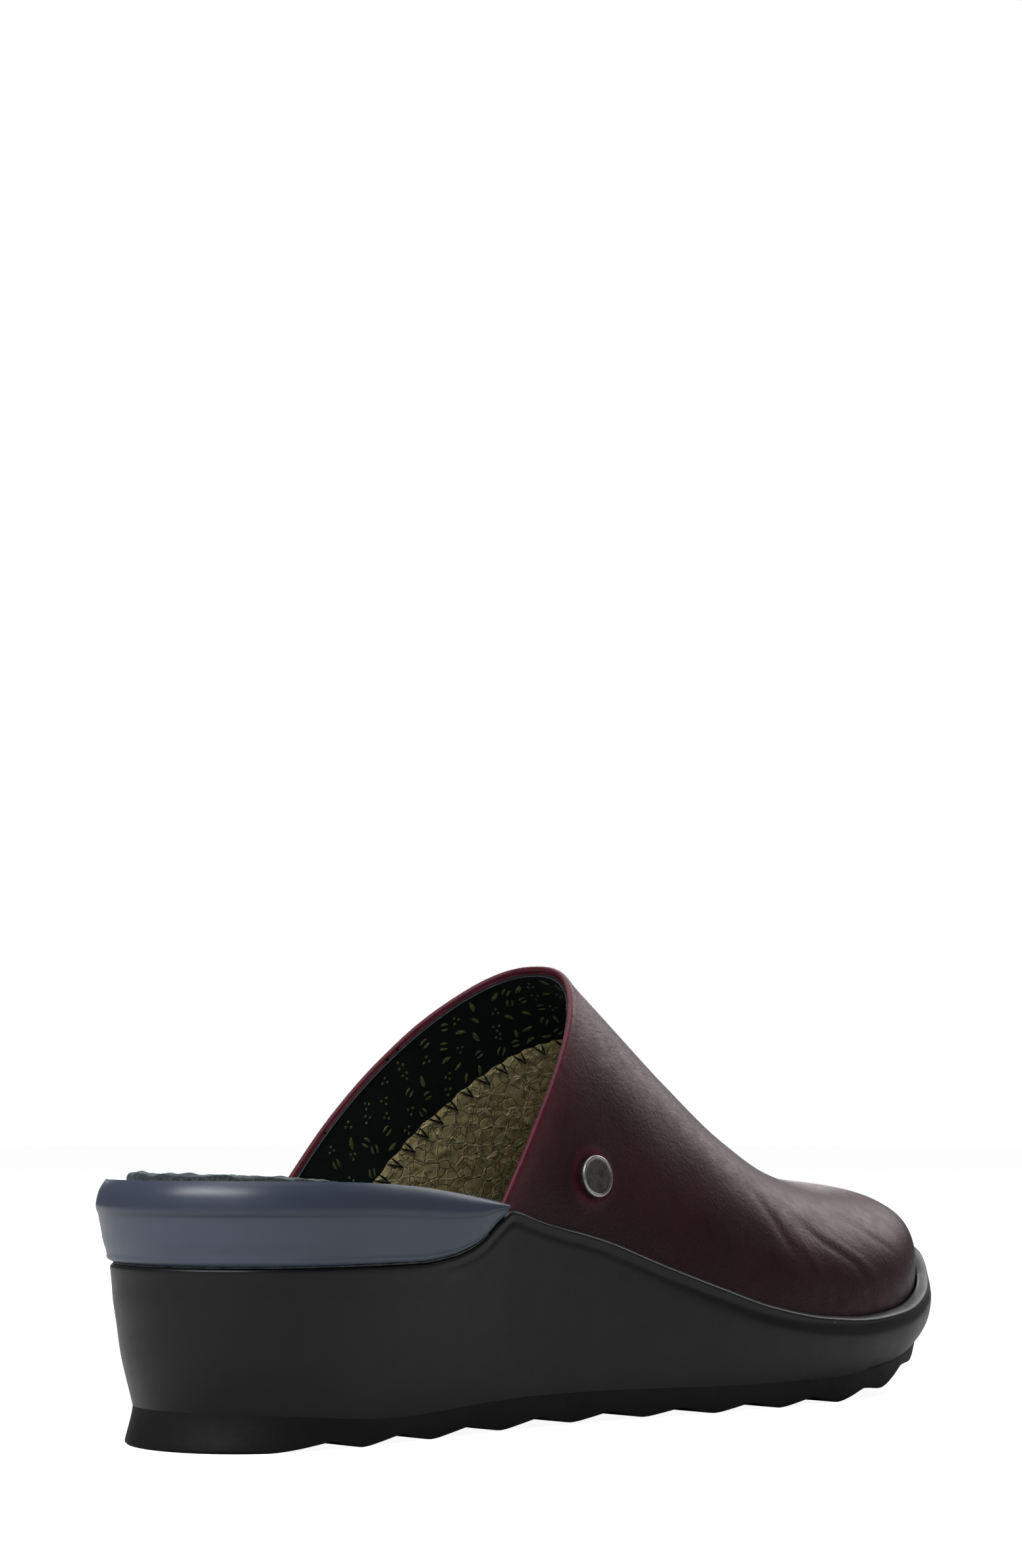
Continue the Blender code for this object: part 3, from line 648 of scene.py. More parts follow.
class Look:
    """A finish with its colour and its relief so far. Its sizes are in mm."""

    def __init__(self, name, **levels):
        self.finish = bpy.data.materials.new(name)
        self.finish.use_nodes = True
        self.tree = self.finish.node_tree
        self.shader = self.tree.nodes["Principled BSDF"]
        for key, value in levels.items():
            key = key.replace("_", " ").title().replace("Ior", "IOR")
            self.shader.inputs[key].default_value = value
        self.coords = self.add("ShaderNodeTexCoord").outputs["Object"]
        self.colour = None
        self.relief = None

    def add(self, kind, inputs=None, **settings):
        """Add a node to this finish."""
        return add(self.tree, kind, inputs, **settings)

    def noise(self, size, detail=3.0, rough=0.55, distortion=0.0, coords=None, output="Fac"):
        """Cloudy noise from 0 to 1 with features of a given size."""
        inputs = {"Vector": coords or self.coords, "Scale": 1 / (size * MM), "Detail": detail,
                  "Roughness": rough, "Distortion": distortion}
        return self.add("ShaderNodeTexNoise", inputs).outputs[output]

    def cells(self, size, feature="F1", random=1.0, coords=None):
        """Distance pattern of cells of a given size."""
        inputs = {"Vector": coords or self.coords, "Scale": 1 / (size * MM), "Randomness": random}
        return self.add("ShaderNodeTexVoronoi", inputs, feature=feature).outputs["Distance"]

    def span(self, value, low, high, to_low=0.0, to_high=1.0):
        """Map a range of a value to another range, without leaving it."""
        inputs = {"Value": value, "From Min": low, "From Max": high, "To Min": to_low,
                  "To Max": to_high}
        return self.add("ShaderNodeMapRange", inputs, clamp=True).outputs["Result"]

    def calc(self, operation, a, b):
        """One step of arithmetic."""
        return self.add("ShaderNodeMath", {0: a, 1: b}, operation=operation).outputs["Value"]

    def field(self, name):
        """Value stored on the piece's points."""
        return self.add("ShaderNodeAttribute", attribute_name=name).outputs["Fac"]

    def mix(self, share, under, over):
        """Mix of two colours, each a socket or three screen values."""
        under, over = [tone(*c) if isinstance(c, tuple) else c for c in (under, over)]
        made = self.add("ShaderNodeMix", {0: share, 6: under, 7: over}, data_type="RGBA")
        return made.outputs[2]

    def paint(self, share, over):
        """Lay a colour over the colour so far."""
        self.colour = self.mix(share, self.colour, over)

    def bump(self, height, depth):
        """Lay a relief, from a height of 0 to 1, over the relief so far."""
        inputs = {"Height": height, "Distance": depth * MM, "Strength": 1.0}
        if self.relief is not None:
            inputs["Normal"] = self.relief
        self.relief = self.add("ShaderNodeBump", inputs).outputs["Normal"]

    def done(self, gloss=None):
        """Link the colour, the roughness and the relief to the shader."""
        ends = {"Base Color": self.colour, "Roughness": gloss, "Normal": self.relief}
        for key, value in ends.items():
            if value is not None:
                self.tree.links.new(value, self.shader.inputs[key])
        return self.finish


def leather_finish():
    """Waxed burgundy leather: lighter edge tone and painted highlight at the rolled edge, a
    painted highlight round the button, painted sheen over the vamp's top and painted shade towards
    the sole.
    """
    look = Look("burgundy_leather", specular_ior_level=0.42, coat_weight=0.03,
                coat_roughness=0.3, specular_tint=(1.0, 0.62, 0.68, 1.0))
    mottle = look.noise(3.2, 5.0, 0.65)
    clouds = look.span(look.noise(26, 4.0, 0.6), 0.35, 0.65)
    look.colour = look.mix(clouds, (36, 13, 18), (54, 19, 27))
    look.paint(look.span(mottle, 0.4, 0.75, 0.0, 0.45), (26, 13, 17))
    # painted sheen: lighter burgundy over the top of the vamp
    look.paint(look.span(look.field("worn"), 0.0, 1.0, 0.0, 0.6), (76, 29, 40))
    # painted shade: the leather near-black towards the sole
    look.paint(look.span(look.field("foot"), 0.0, 1.0, 0.0, 0.6), (20, 13, 15))
    # lighter edge tone beside the rolled edge, partly painted highlight, and a painted highlight
    # ring round the button
    uneven = look.span(mottle, 0.25, 0.6, 0.55, 1.0)
    look.paint(look.calc("MULTIPLY", look.field("edge"), uneven), (84, 27, 41))
    look.bump(look.cells(0.75, "SMOOTH_F1"), 0.05)
    look.bump(look.noise(0.35, 3.0, 0.6), 0.03)
    look.bump(look.span(look.cells(1.6), 0.0, 0.22), 0.02)
    look.bump(look.noise(8, 3.0, 0.5, 0.4), 0.16)
    inputs = {"Vector": look.coords, "Rotation": (0.0, 0.75, 0.0), "Scale": (0.16, 0.8, 1.0)}
    along = look.add("ShaderNodeMapping", inputs).outputs["Vector"]
    wrinkle = look.span(look.noise(1.1, 3.0, 0.55, 0.5, along), 0.3, 0.62)
    look.bump(look.calc("MULTIPLY", wrinkle, look.field("worn")), 0.11)
    return look.done(look.span(mottle, 0.3, 0.7, 0.38, 0.5))


def textile_finish():
    """Near-black green woven lining."""
    look = Look("dark_textile", specular_ior_level=0.2, sheen_weight=0.25, sheen_roughness=0.5,
                sheen_tint=tone(90, 105, 100), roughness=0.85)
    look.colour = look.mix(look.noise(12, 4.0, 0.6), (13, 18, 18), (26, 33, 30))
    look.bump(look.cells(0.45, random=0.35), 0.1)
    look.bump(look.noise(0.5, 2.0), 0.06)
    return look.done()


def print_finish():
    """Dull olive print on the lining, worn in places."""
    look = Look("olive_print", specular_ior_level=0.2, roughness=0.8)
    wear = look.span(look.noise(0.7, 3.0, 0.7), 0.35, 0.65)
    look.colour = look.mix(wear, (66, 80, 46), (116, 132, 80))
    look.bump(look.noise(0.4, 2.0), 0.05)
    return look.done()


def olive_finish():
    """Crinkled olive-gold leather of the vamp lining, with painted highlights on its ridges and
    broken crests and painted shade in its folds.
    """
    look = Look("olive_leather", specular_ior_level=0.4, coat_weight=0.08, coat_roughness=0.35)
    clouds = look.noise(8, 4.0, 0.6)
    look.colour = look.mix(look.span(clouds, 0.3, 0.7), (196, 180, 124), (224, 208, 154))
    # painted highlight: paler olive along the ridges of the relief
    look.paint(look.span(look.field("ridge"), 0.25, 1.0, 0.0, 0.75), (240, 228, 184))
    wobble = look.noise(3.5, 2.0, 0.5, output="Color")
    bent = look.add("ShaderNodeVectorMath", {0: wobble, 1: (1.5 * MM,) * 3, 2: look.coords},
                    operation="MULTIPLY_ADD").outputs["Vector"]
    crests = look.span(look.cells(4.2, "DISTANCE_TO_EDGE", 0.4, bent), 0.0, 0.06, 1.0, 0.0)
    crests = look.calc("MULTIPLY", crests, look.span(look.noise(4, 2.0), 0.36, 0.56, 0.3, 1.0))
    folds = look.span(look.cells(3.3, "DISTANCE_TO_EDGE", 1.0, bent), 0.0, 0.06, 1.0, 0.0)
    # painted shade: darker olive in the fold lines
    look.paint(look.calc("MULTIPLY", folds, 0.35), (112, 98, 52))
    # painted highlight: near-white along the broken crests
    look.paint(look.calc("MULTIPLY", crests, 0.85), (255, 246, 200))
    look.bump(look.noise(1.4, 3.0, 0.5, 0.6), 0.05)
    look.bump(look.calc("SUBTRACT", crests, folds), 0.22)
    look.bump(look.cells(0.6), 0.04)
    return look.done(look.span(clouds, 0.3, 0.7, 0.42, 0.56))


def collar_finish():
    """Glossy blue-grey moulded band, faintly scuffed, with painted shade along the crease under
    its bulge and the band above it darker blue.
    """
    look = Look("blue_grey_band", specular_ior_level=0.55, coat_weight=0.15, coat_roughness=0.25)
    look.colour = look.mix(look.noise(30, 3.0, 0.5), (74, 83, 100), (86, 95, 112))
    # painted shade along the crease, and the band above it darker blue
    look.paint(look.span(look.field("crease"), 0.0, 1.0, 0.0, 0.55), (34, 42, 64))
    look.bump(look.cells(0.5), 0.008)
    look.bump(look.noise(14, 2.0), 0.12)
    return look.done(look.span(look.noise(16, 2.0, 0.5), 0.3, 0.75, 0.3, 0.4))


def foam_finish():
    """Satin black foam with a faint skin texture and a few specks of dust."""
    look = Look("black_foam", specular_ior_level=0.38, coat_weight=0.1, coat_roughness=0.22)
    look.colour = look.mix(look.noise(22, 4.0, 0.6), (13, 14, 14), (20, 21, 21))
    dust = look.calc("LESS_THAN", look.cells(11), 0.018)
    look.paint(look.calc("MULTIPLY", dust, 0.6), (150, 150, 145))
    look.bump(look.noise(0.45, 3.0, 0.6), 0.02)
    look.bump(look.noise(18, 2.0), 0.2)
    return look.done(look.span(look.noise(7, 4.0, 0.7), 0.3, 0.7, 0.36, 0.46))


def rubber_finish():
    """Dull black rubber of the outsole."""
    look = Look("black_rubber", specular_ior_level=0.3)
    clouds = look.noise(9, 4.0, 0.65)
    look.colour = look.mix(clouds, (13, 13, 13), (20, 20, 20))
    look.bump(look.noise(0.6, 3.0, 0.6), 0.03)
    look.bump(look.cells(1.4), 0.03)
    return look.done(look.span(clouds, 0.3, 0.7, 0.55, 0.7))


def insole_finish():
    """Dark teal-grey napped cover with a light speckled band round its edge."""
    look = Look("teal_nap", specular_ior_level=0.25, sheen_weight=0.4, sheen_roughness=0.45,
                sheen_tint=tone(150, 165, 168), roughness=0.82)
    fibre = look.noise(0.7, 4.0, 0.7)
    look.colour = look.mix(look.noise(9, 5.0, 0.65), (34, 44, 48), (58, 70, 74))
    look.paint(look.span(fibre, 0.5, 0.75, 0.0, 0.45), (96, 108, 108))
    speck = look.mix(look.span(fibre, 0.35, 0.65), (44, 50, 50), (128, 134, 132))
    look.paint(look.field("band"), speck)
    look.bump(fibre, 0.22)
    look.bump(look.noise(2.6, 4.0, 0.6), 0.35)
    return look.done()


def button_finish():
    """Antiqued metal: a dark pitted face and a worn bright rim."""
    look = Look("antique_metal", metallic=1.0)
    pits = look.noise(0.5, 4.0, 0.7)
    clouds = look.span(look.noise(2.2, 4.0, 0.7), 0.35, 0.65)
    look.colour = look.mix(clouds, (88, 86, 84), (128, 126, 122))
    look.paint(look.span(pits, 0.5, 0.7, 0.0, 0.6), (58, 56, 53))
    look.paint(look.field("rim"), (214, 210, 204))
    look.bump(pits, 0.05)
    return look.done(look.span(look.field("rim"), 0.0, 1.0, 0.46, 0.22))


def plain_finish(name, dark, light, size, depth):
    """Mottled finish for small pieces."""
    look = Look(name, roughness=0.6, specular_ior_level=0.35)
    clouds = look.noise(size, 4.0, 0.65)
    look.colour = look.mix(look.span(clouds, 0.3, 0.7), dark, light)
    look.bump(clouds, depth)
    return look.done()


def raised(station, inset, height):
    """Points at given insets and heights along the outline."""
    return np.concatenate([plan(station, inset), height[..., None]], axis=-1)


def sole_grid(stations, insets, heights):
    """Grid of closed sections of the sole: up the outer side, then down the inner side."""
    sides = stations[:, None] + 0 * insets
    outer = raised(-sides, insets, heights)
    inner = raised(sides, insets, heights)
    return beside(outer, inner[:, ::-1])


def build_midsole(finish):
    """Wedge with its shaped side, the bead and hollow under its rim, and the sunk bed."""
    stations = spread(0, 1, 421)
    share = share_at(stations)
    low = seam_height(share)
    ledge = ledge_height(share)
    levels = np.concatenate([spread(0, 0.66, 12), spread(0.69, 0.94, 18),
                             1 - 0.055 * spread(0.95, 0, 15) ** 2])
    insets = side_insets(share, levels)
    heights = low[:, None] + (ledge - low)[:, None] * levels
    edge = outline(stations)
    way = np.gradient(np.cumsum(np.hypot(*np.gradient(edge, axis=0).T)))
    slope = np.gradient(ledge) / np.maximum(way, 1e-9)
    below = (ledge[:, None] - heights) / np.sqrt(1 + slope ** 2)[:, None]
    bead, hollow, place, width = [curve(share)[:, None] for curve in bead_curves]
    insets = insets - bead * BEAD_HEIGHT * hill(below - BEAD_PLACE, BEAD_WIDTH)
    insets += hollow * MM * hill(below - place * MM, width * MM)
    over = np.clip(1 - below / TOP_ROUNDING, 0, 1)
    insets += TOP_ROUNDING * (1 - np.sqrt(1 - over ** 2))
    on_rim = ledge_share(share)[:, None]
    wall = collar_reach(share)[:, None] + CLEARANCE * (1 - on_rim)
    turn = spread(0, math.pi / 2, 6)
    rounding = INNER_ROUNDING * on_rim
    land = insets[:, -1:] + (wall - rounding - insets[:, -1:]) * spread(0.2, 0.8, 3)
    corner = wall - rounding + rounding * np.sin(turn)
    corner_z = ledge[:, None] - rounding + rounding * np.cos(turn)
    floor = bed_height(share)[:, None]
    inner_z = corner_z[:, -1:] + (floor - corner_z[:, -1:]) * spread(0.3, 1, 4)
    insets = beside(insets, land, corner, wall + 0 * inner_z)
    heights = beside(heights, ledge[:, None] + 0 * land, corner_z, inner_z)
    piece = make("midsole_foam", [ring_grid(sole_grid(stations, insets, heights))], finish)
    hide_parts("midsole")


def lift_at(share):
    """How far the tread is lifted into its grooves, as a share of their depth."""
    place = share * LENGTH - HEEL_PAD
    lift = lug_lift((place / LUG_PITCH) % 1.0)
    before = np.clip(1 + place / (0.8 * LUG_PITCH), 0, 1)
    lift = np.where(place < 0, LUG[0][1] * before ** 1.4, lift)
    last = LENGTH * LAST_GROOVE - HEEL_PAD
    return np.where(place > last, 0.0, lift)


def build_outsole(finish):
    """Rubber sole with a bevelled edge and rounded cross lugs."""
    share = np.concatenate([share_at(spread(0, 0.18, 60)), spread(0.0788, 0.965, 560)[1:],
                            share_at(spread(0.882, 1, 50))])
    share = np.unique(share)
    seam = seam_height(share) - SEAM_GAP
    tread = tread_height(share)
    fade = np.minimum(1.0, (seam - tread) / (GROOVE_FULL * OUTSOLE_THICKNESS))
    bottom = (tread + LUG_DEPTH * lift_at(share) * fade)[:, None]
    notch = side_insets(share, np.array([0.0]))
    heel = np.maximum(0.0, 1 - share / FLARE_END)
    flare = (HEEL_FLARE * heel - TOE_TUCK * (1 - heel))[:, None]
    levels = np.concatenate([spread(0, 0.12, 7), spread(0.2, 1, 11)])
    insets = notch - flare * steady(EDGE, 1)(levels) + TREAD_BEVEL * steady(EDGE, 2)(levels)
    heights = bottom + (seam[:, None] - bottom) * levels
    rings = sole_grid(station_at(share), insets, heights)
    across = spread(0, 1, 26)[1:-1]
    under = rings[:, -1:] * (1 - across[:, None]) + rings[:, :1] * across[:, None]
    rings = beside(rings, under)
    piece = make("outsole_rubber", [ring_grid(rings)], finish)
    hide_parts("outsole")


def build_collar(finish):
    """Band round the heel: a crease under its bulge and a top that falls to the insole."""
    end = float(station_at(COLLAR_END / LENGTH))
    stations = spread(-end, end, 361)
    share = share_at(stations)
    low = ledge_height(share) + CLEARANCE
    high = rim_height(share)
    front = (share * LENGTH / COLLAR_END)[:, None]
    levels = np.concatenate([spread(0, 0.1, 6), spread(0.13, 0.56, 9), spread(0.58, 0.7, 9),
                             spread(0.73, 1, 13)])
    inset = smooth(COLLAR_SIDE, 1)(levels) * (1 - front) + smooth(COLLAR_SIDE, 2)(levels) * front
    inset = inset * LIP_WIDTH
    heights = low[:, None] + (high - low)[:, None] * levels
    reach = collar_reach(share)[:, None]
    top = inset[:, -1:] + (reach - inset[:, -1:]) * np.array([0.25, 0.6, 0.85, 1.0])
    top_z = high[:, None] - np.array(COLLAR_FALL) * MM
    inner_z = top_z[:, -1:] + (low[:, None] - top_z[:, -1:]) * spread(0.3, 1, 4)
    inset = beside(inset, top, reach + 0 * inner_z)
    heights = beside(heights, top_z, inner_z)
    rings = raised(stations[:, None] + 0 * inset, inset, heights)
    levels = np.concatenate([levels, np.ones(inset.shape[1] - len(levels))])
    upper_band = np.clip((levels - 0.58) / 0.08, 0, 1)
    # painted shade along the crease under the bulge, and the upper band darker
    dark = np.maximum(hill(levels - 0.6, 0.035), 0.8 * upper_band) + 0 * inset
    piece = make("heel_band", [ring_grid(rings)], finish, [rings[0], rings[-1]],
                 {"crease": ring_grid(dark)})
    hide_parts("heel_collar")


def build_gap_shade(finish):
    """Thin dark strip in the gap under the collar: painted shade of the gap."""
    end = float(station_at(0.93 * COLLAR_END / LENGTH))
    stations = spread(-end, end, 300)
    share = share_at(stations)
    low = ledge_height(share)
    inset = smooth(COLLAR_SIDE, 1)(0.0) * LIP_WIDTH - 0.25 * MM
    front = share * LENGTH / COLLAR_END
    inset = inset * (1 - front) + 0.6 * LIP_WIDTH * front
    wander = 0.12 * MM * rolling(np.stack([share * LENGTH, 0 * share, 0 * share], -1), 7 * MM, 3)
    rings = [raised(stations, inset + wander + deeper * MM, low + lift * MM)
             for deeper, lift in GAP_SHADE_CORNERS]
    rings = np.stack(rings, axis=1)
    piece = make("gap_shade", [ring_grid(rings)], finish, [rings[0], rings[-1]])


def build_insole(finish):
    """Footbed with a soft lumpy cover, a light band and a lap over the collar's top."""
    stations = spread(0, 1, 301)
    share = share_at(stations)
    low = (bed_height(share) + CLEARANCE)[:, None]
    rise = (INSOLE_RIM * np.maximum(0.0, 1 - share / INSOLE_RIM_END))[:, None]
    place = spread(0, 1, len(INSOLE_SIDE))
    fine = spread(0, 1, 40)
    table = tuple((p, *row) for p, row in zip(place, INSOLE_SIDE))
    inset, height, rim, lap = [steady(table, column)(fine) for column in (1, 2, 3, 4)]
    at_heel = np.clip((0.24 - share) / 0.12, 0, 1)[:, None]
    insets = INSOLE_INSET + inset * LIP_WIDTH - lap * INSOLE_LAP * at_heel
    sunk = 0.2 * MM + 1.6 * MM * np.clip(share / 0.14, 0, 1)[:, None] ** 1.5
    heights = low + height * INSOLE_THICKNESS + rim * (rise - sunk)
    rings = sole_grid(stations, insets, heights)
    half = rings.shape[1] // 2
    across = spread(0, 1, 62)[1:-1, None]
    top = rings[:, half - 1:half] * (1 - across) + rings[:, half:half + 1] * across
    rings = beside(rings[:, :half], top, rings[:, half:])
    way = np.concatenate([fine, np.ones(len(across)), fine[::-1]])
    soft = np.clip((way - 0.3) / 0.3, 0, 1)
    lumps = rolling(rings, 9 * MM, 11) * 0.3 + rolling(rings, 3.4 * MM, 12) * 0.22
    rings[..., 2] += lumps * soft * MM * 0.7
    band = hill(way - 0.36, 0.12) + np.zeros((len(stations), 1))
    piece = make("insole_cover", [ring_grid(rings)], finish, fields={"band": ring_grid(band)})
    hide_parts("insole")


def lining_point(station, angle, offset):
    """Point under the outer surface of the upper, on its inner side."""
    offset = np.asarray(offset)
    depth = offset[..., None] if offset.ndim else offset
    return upper_point(station, angle) - upper_normal(station, angle) * depth


def widen(grid):
    """Repeat the first and the last column of a grid."""
    return beside(grid[:, :1], grid, grid[:, -1:])


def add_skirts(grid, stations):
    """Add a column at each side of a grid that goes straight down into the rim."""
    grid = widen(grid)
    for column, angle in ((0, -1.0), (-1, 1.0)):
        foot = foot_station_at(stations, np.full(stations.shape, angle))
        grid[:, column, 2] = bed_height(share_at(foot)) + SKIRT_OVER_BED
    return grid


def build_leather(finish):
    """Outer leather with its creases, the dimple round the button and the rolled edge."""
    angles = np.sin(spread(-1, 1, 191) * math.pi / 2) * 0.25 + spread(-1, 1, 191) * 0.75
    angles = angles[None, :]
    along, _ = upper_axes(np.full(angles.shape, OPENING), angles)
    metric = np.linalg.norm(along, axis=-1)
    ahead = edge_out(angles) * MM
    start = OPENING + (EDGE_ROLL - ahead) / metric
    rows = spread(0, 1, 190)[:, None]
    rows = 0.35 * rows ** 2 + 0.65 * rows
    stations = start + (1 - start) * rows
    angle_grid = angles + 0 * stations
    plain = upper_point(stations, angle_grid)
    normal = upper_normal(stations, angle_grid)
    from_edge = (stations - OPENING) * metric + ahead
    from_foot = 1 - np.abs(angle_grid)
    roll = ROLL_HEIGHT * hill(np.maximum(from_edge - EDGE_ROLL, 0), ROLL_WIDTH)
    soft = 1 - hill(from_foot, 0.05)
    toe_fade = np.clip((1 - stations) / 0.12, 0, 1)
    relief = crease_height(stations, angle_grid) * soft
    relief += 0.1 * MM * rolling(plain, 22 * MM, 5) * soft * toe_fade
    near = np.linalg.norm(plain - upper_point(*BUTTON_AT), axis=-1)
    relief -= DIMPLE_DEPTH * np.exp(-(near / (1.1 * BUTTON_RADIUS)) ** 4)
    halo = hill(near / BUTTON_RADIUS - 1.18, 0.26)
    relief += HALO_HEIGHT * halo
    outer = plain + normal * (roll + relief)[..., None]
    inner = plain - normal * LEATHER
    inner[-1] = inner[-1, :1]
    way = unit(upper_axes(start, angles)[0])[0]
    out = normal[0]
    centre = outer[0] - out * EDGE_ROLL
    nose = []
    for turn in spread(0, math.pi, 14)[1:]:
        nose.append(centre + EDGE_ROLL * (out * math.cos(turn) - way * math.sin(turn)))
    nose.append(lining_point(start[0] + 1.0 * MM / metric[0], angles[0], 1.9 * MM))
    outer = add_skirts(outer, stations[:, 0])
    inner = add_skirts(inner, stations[:, 0])
    nose = add_skirts(np.stack(nose), np.full(len(nose), OPENING))
    grids, fans = closed_sheet(outer, inner, nose)
    # band of lighter edge tone and painted highlight along the rolled edge, joined by the painted
    # highlight round the button
    edge = np.exp(-(np.maximum(from_edge, 0) / (5 * MM)) ** 1.2) * 0.9
    edge = widen(np.maximum(edge, 0.75 * halo)).ravel()
    rest = np.ones(sum(grid[..., 0].size for grid in grids[1:]))
    # top of the vamp: mask for its fine wrinkles and for the painted sheen there
    worn = np.exp(-(angle_grid / 0.42) ** 4) * np.clip((0.62 - stations) / 0.08, 0.15, 1)
    # mask of the painted shade near the sole
    foot = np.exp(-(from_foot * SIDE_ARC / (12 * MM)) ** 1.3)
    fields = {"edge": np.concatenate([edge, rest]), "foot": widen(foot), "worn": widen(worn)}
    piece = make("leather_upper", grids, finish, fans, fields)
    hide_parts("upper")


def make_lining(name, stations, angles, height, finish, fields=None):
    """Closed sheet of lining, from inside the leather to a height over the wall."""
    front = lining_point(stations, angles, WALL + height)
    back = lining_point(stations, angles, LINING_BACK)
    grids, fans = closed_sheet(add_skirts(front, stations[:, 0]),
                               add_skirts(back, stations[:, 0]))
    make(name, grids, finish, fans, fields)


def textile_waves(plain):
    """Height of the soft waves of the woven lining."""
    return 0.1 * MM * rolling(plain, 14 * MM, 21)


def build_textile(finish):
    """Woven lining from the rolled edge to just under the olive lining."""
    angles = spread(-1, 1, 181)[None, :]
    start = OPENING + (1.25 * MM - edge_out(angles) * MM) / STATION_WAY
    end = border_station(np.abs(angles)) + 3 * MM / STATION_WAY
    stations = start + (end - start) * spread(0, 1, 50)[:, None]
    angles = angles + 0 * stations
    waves = textile_waves(upper_point(stations, angles))
    make_lining("collar_lining", stations, angles, waves, finish)


def build_olive(finish):
    """Crinkled leather lining of the vamp, its back edge puckered by the stitches."""
    angles = spread(-1, 1, 381)[None, :]
    way = angles * SIDE_ARC * 1.25
    pucker = 0.22 * MM * np.cos(2 * math.pi * way / STITCH_PITCH)
    start = border_station(np.abs(angles)) + pucker / STATION_WAY
    rows = spread(0, 1, 120)[:, None] ** 1.7
    stations = start + (VAMP_END - start) * rows
    angles = angles + 0 * stations
    u = stations * STATION_WAY / (3.5 * MM)
    v = angles * SIDE_ARC * 1.2 / (3.0 * MM)
    bend = 0.35 * np.sin(0.9 * v + 0.4 * u)
    network, tilt = cell_pattern(u + bend, v + 0.3 * np.sin(1.1 * u), 31)
    fine, fine_tilt = cell_pattern(u * 1.9 + 7, v * 1.7 + 3 * bend, 32)
    ridge = hill(network, 0.07) * 0.9 + hill(fine, 0.08) * 0.4
    ridge *= 0.6 + 0.4 * np.clip(rolling(upper_point(stations, angles), 11 * MM, 33) + 0.6, 0, 1.4)
    facets = tilt * np.clip(network / 0.3, 0, 1) + 0.3 * fine_tilt * np.clip(fine / 0.3, 0, 1)
    near_edge = np.clip((stations - start) * STATION_WAY / (1.2 * MM), 0, 1)
    height = 0.34 * near_edge ** 0.5 + (0.34 * ridge + 0.42 * facets) * near_edge
    height = np.maximum(height, 0.1) * MM
    # ridge also carries the painted highlight on the ridges
    fields = {"ridge": widen(np.clip(ridge, 0, 1))}
    make_lining("vamp_lining", stations, angles, height, finish, fields)


def build_piping(finish):
    """Fine grey-blue line where the rolled edge meets the lining."""
    angles = spread(-0.995, 0.995, 260)
    stations = OPENING + (1.45 - edge_out(angles)) * MM / STATION_WAY
    line = lining_point(stations, angles, WALL + 0.08 * MM)
    make("lining_piping", [tube(line, PIPING)], finish)


def build_stitches(finish):
    """Black zigzag whose points reach onto the olive lining."""
    fine = spread(-0.97, 0.97, 1600)
    line = lining_point(border_station(np.abs(fine)), fine, WALL)
    way = np.concatenate([[0], np.cumsum(np.linalg.norm(np.diff(line, axis=0), axis=1))])
    reach = STITCH_REACH * np.array([0.0, 0.62, 1.0, 0.62, 0.0]) - STITCH_BACK
    depth = WALL + np.array([0.15, 0.6, 0.7, 0.6, 0.15]) * MM
    grids = []
    for stitch in range(int(way[-1] / STITCH_PITCH)):
        places = STITCH_PITCH * (stitch + np.array([0.25, 0.4, 0.5, 0.6, 0.75]))
        angles = np.interp(places, way, fine)
        stations = border_station(np.abs(angles)) + reach / STATION_WAY
        grids.append(tube(lining_point(stations, angles, depth), THREAD, 6))
    make("zigzag_stitches", grids, finish)


def motif(kind):
    """Centre lines and half widths of one printed motif, in shares of its height."""
    full = np.sin(spread(0.04, 0.96, 7) * math.pi) ** 0.8
    leaf = spread(-0.5, 0.5, 7)
    bow = 0.25 - leaf ** 2
    if kind == 0:
        return [(np.stack([0.22 * bow, leaf], axis=1), 0.2 * full)]
    if kind == 1:
        return [(np.stack([side * (0.2 + 0.25 * bow), 0.75 * leaf], axis=1), 0.13 * full)
                for side in (1, -1)]
    dots = ((-0.25, -0.2), (0.25, -0.2), (0.0, 0.3))
    return [(np.stack([x + 0 * leaf, y + 0.28 * leaf], axis=1), 0.14 * full) for x, y in dots]


def motif_grids(kind, station, angle, spin, size):
    """Low ribbons of one motif at a place on the woven lining, turned and scaled."""
    along, across = upper_axes(np.array(station), np.array(angle))
    inverse = np.linalg.pinv(np.stack([along, across], axis=1))
    normal = unit(np.cross(along, across))
    u_axis = unit(across)
    v_axis = unit(np.cross(normal, u_axis))
    grids = []
    for line, half in motif(kind):
        x = line[:, 0] * math.cos(spin) - line[:, 1] * math.sin(spin)
        y = line[:, 0] * math.sin(spin) + line[:, 1] * math.cos(spin)
        moved = (x[:, None] * u_axis + y[:, None] * v_axis) * size
        steps = moved @ inverse.T
        side = np.cross(unit(np.gradient(moved, axis=0)), normal) @ inverse.T
        ribbon = []
        for reach, lift in ((-1, 0.02), (-0.7, 0.1), (0.7, 0.1), (1, 0.02), (-1, 0.02)):
            s, a = (steps + side * (half * size * reach)[:, None]).T
            depth = WALL + lift * MM + textile_waves(upper_point(station + s, angle + a))
            ribbon.append(lining_point(station + s, angle + a, depth))
        ribbon = np.stack(ribbon, axis=1)
        grids.append(ribbon)
        grids += [np.stack([end[:2], end[3:1:-1]]) for end in (ribbon[0], ribbon[-1])]
    return grids


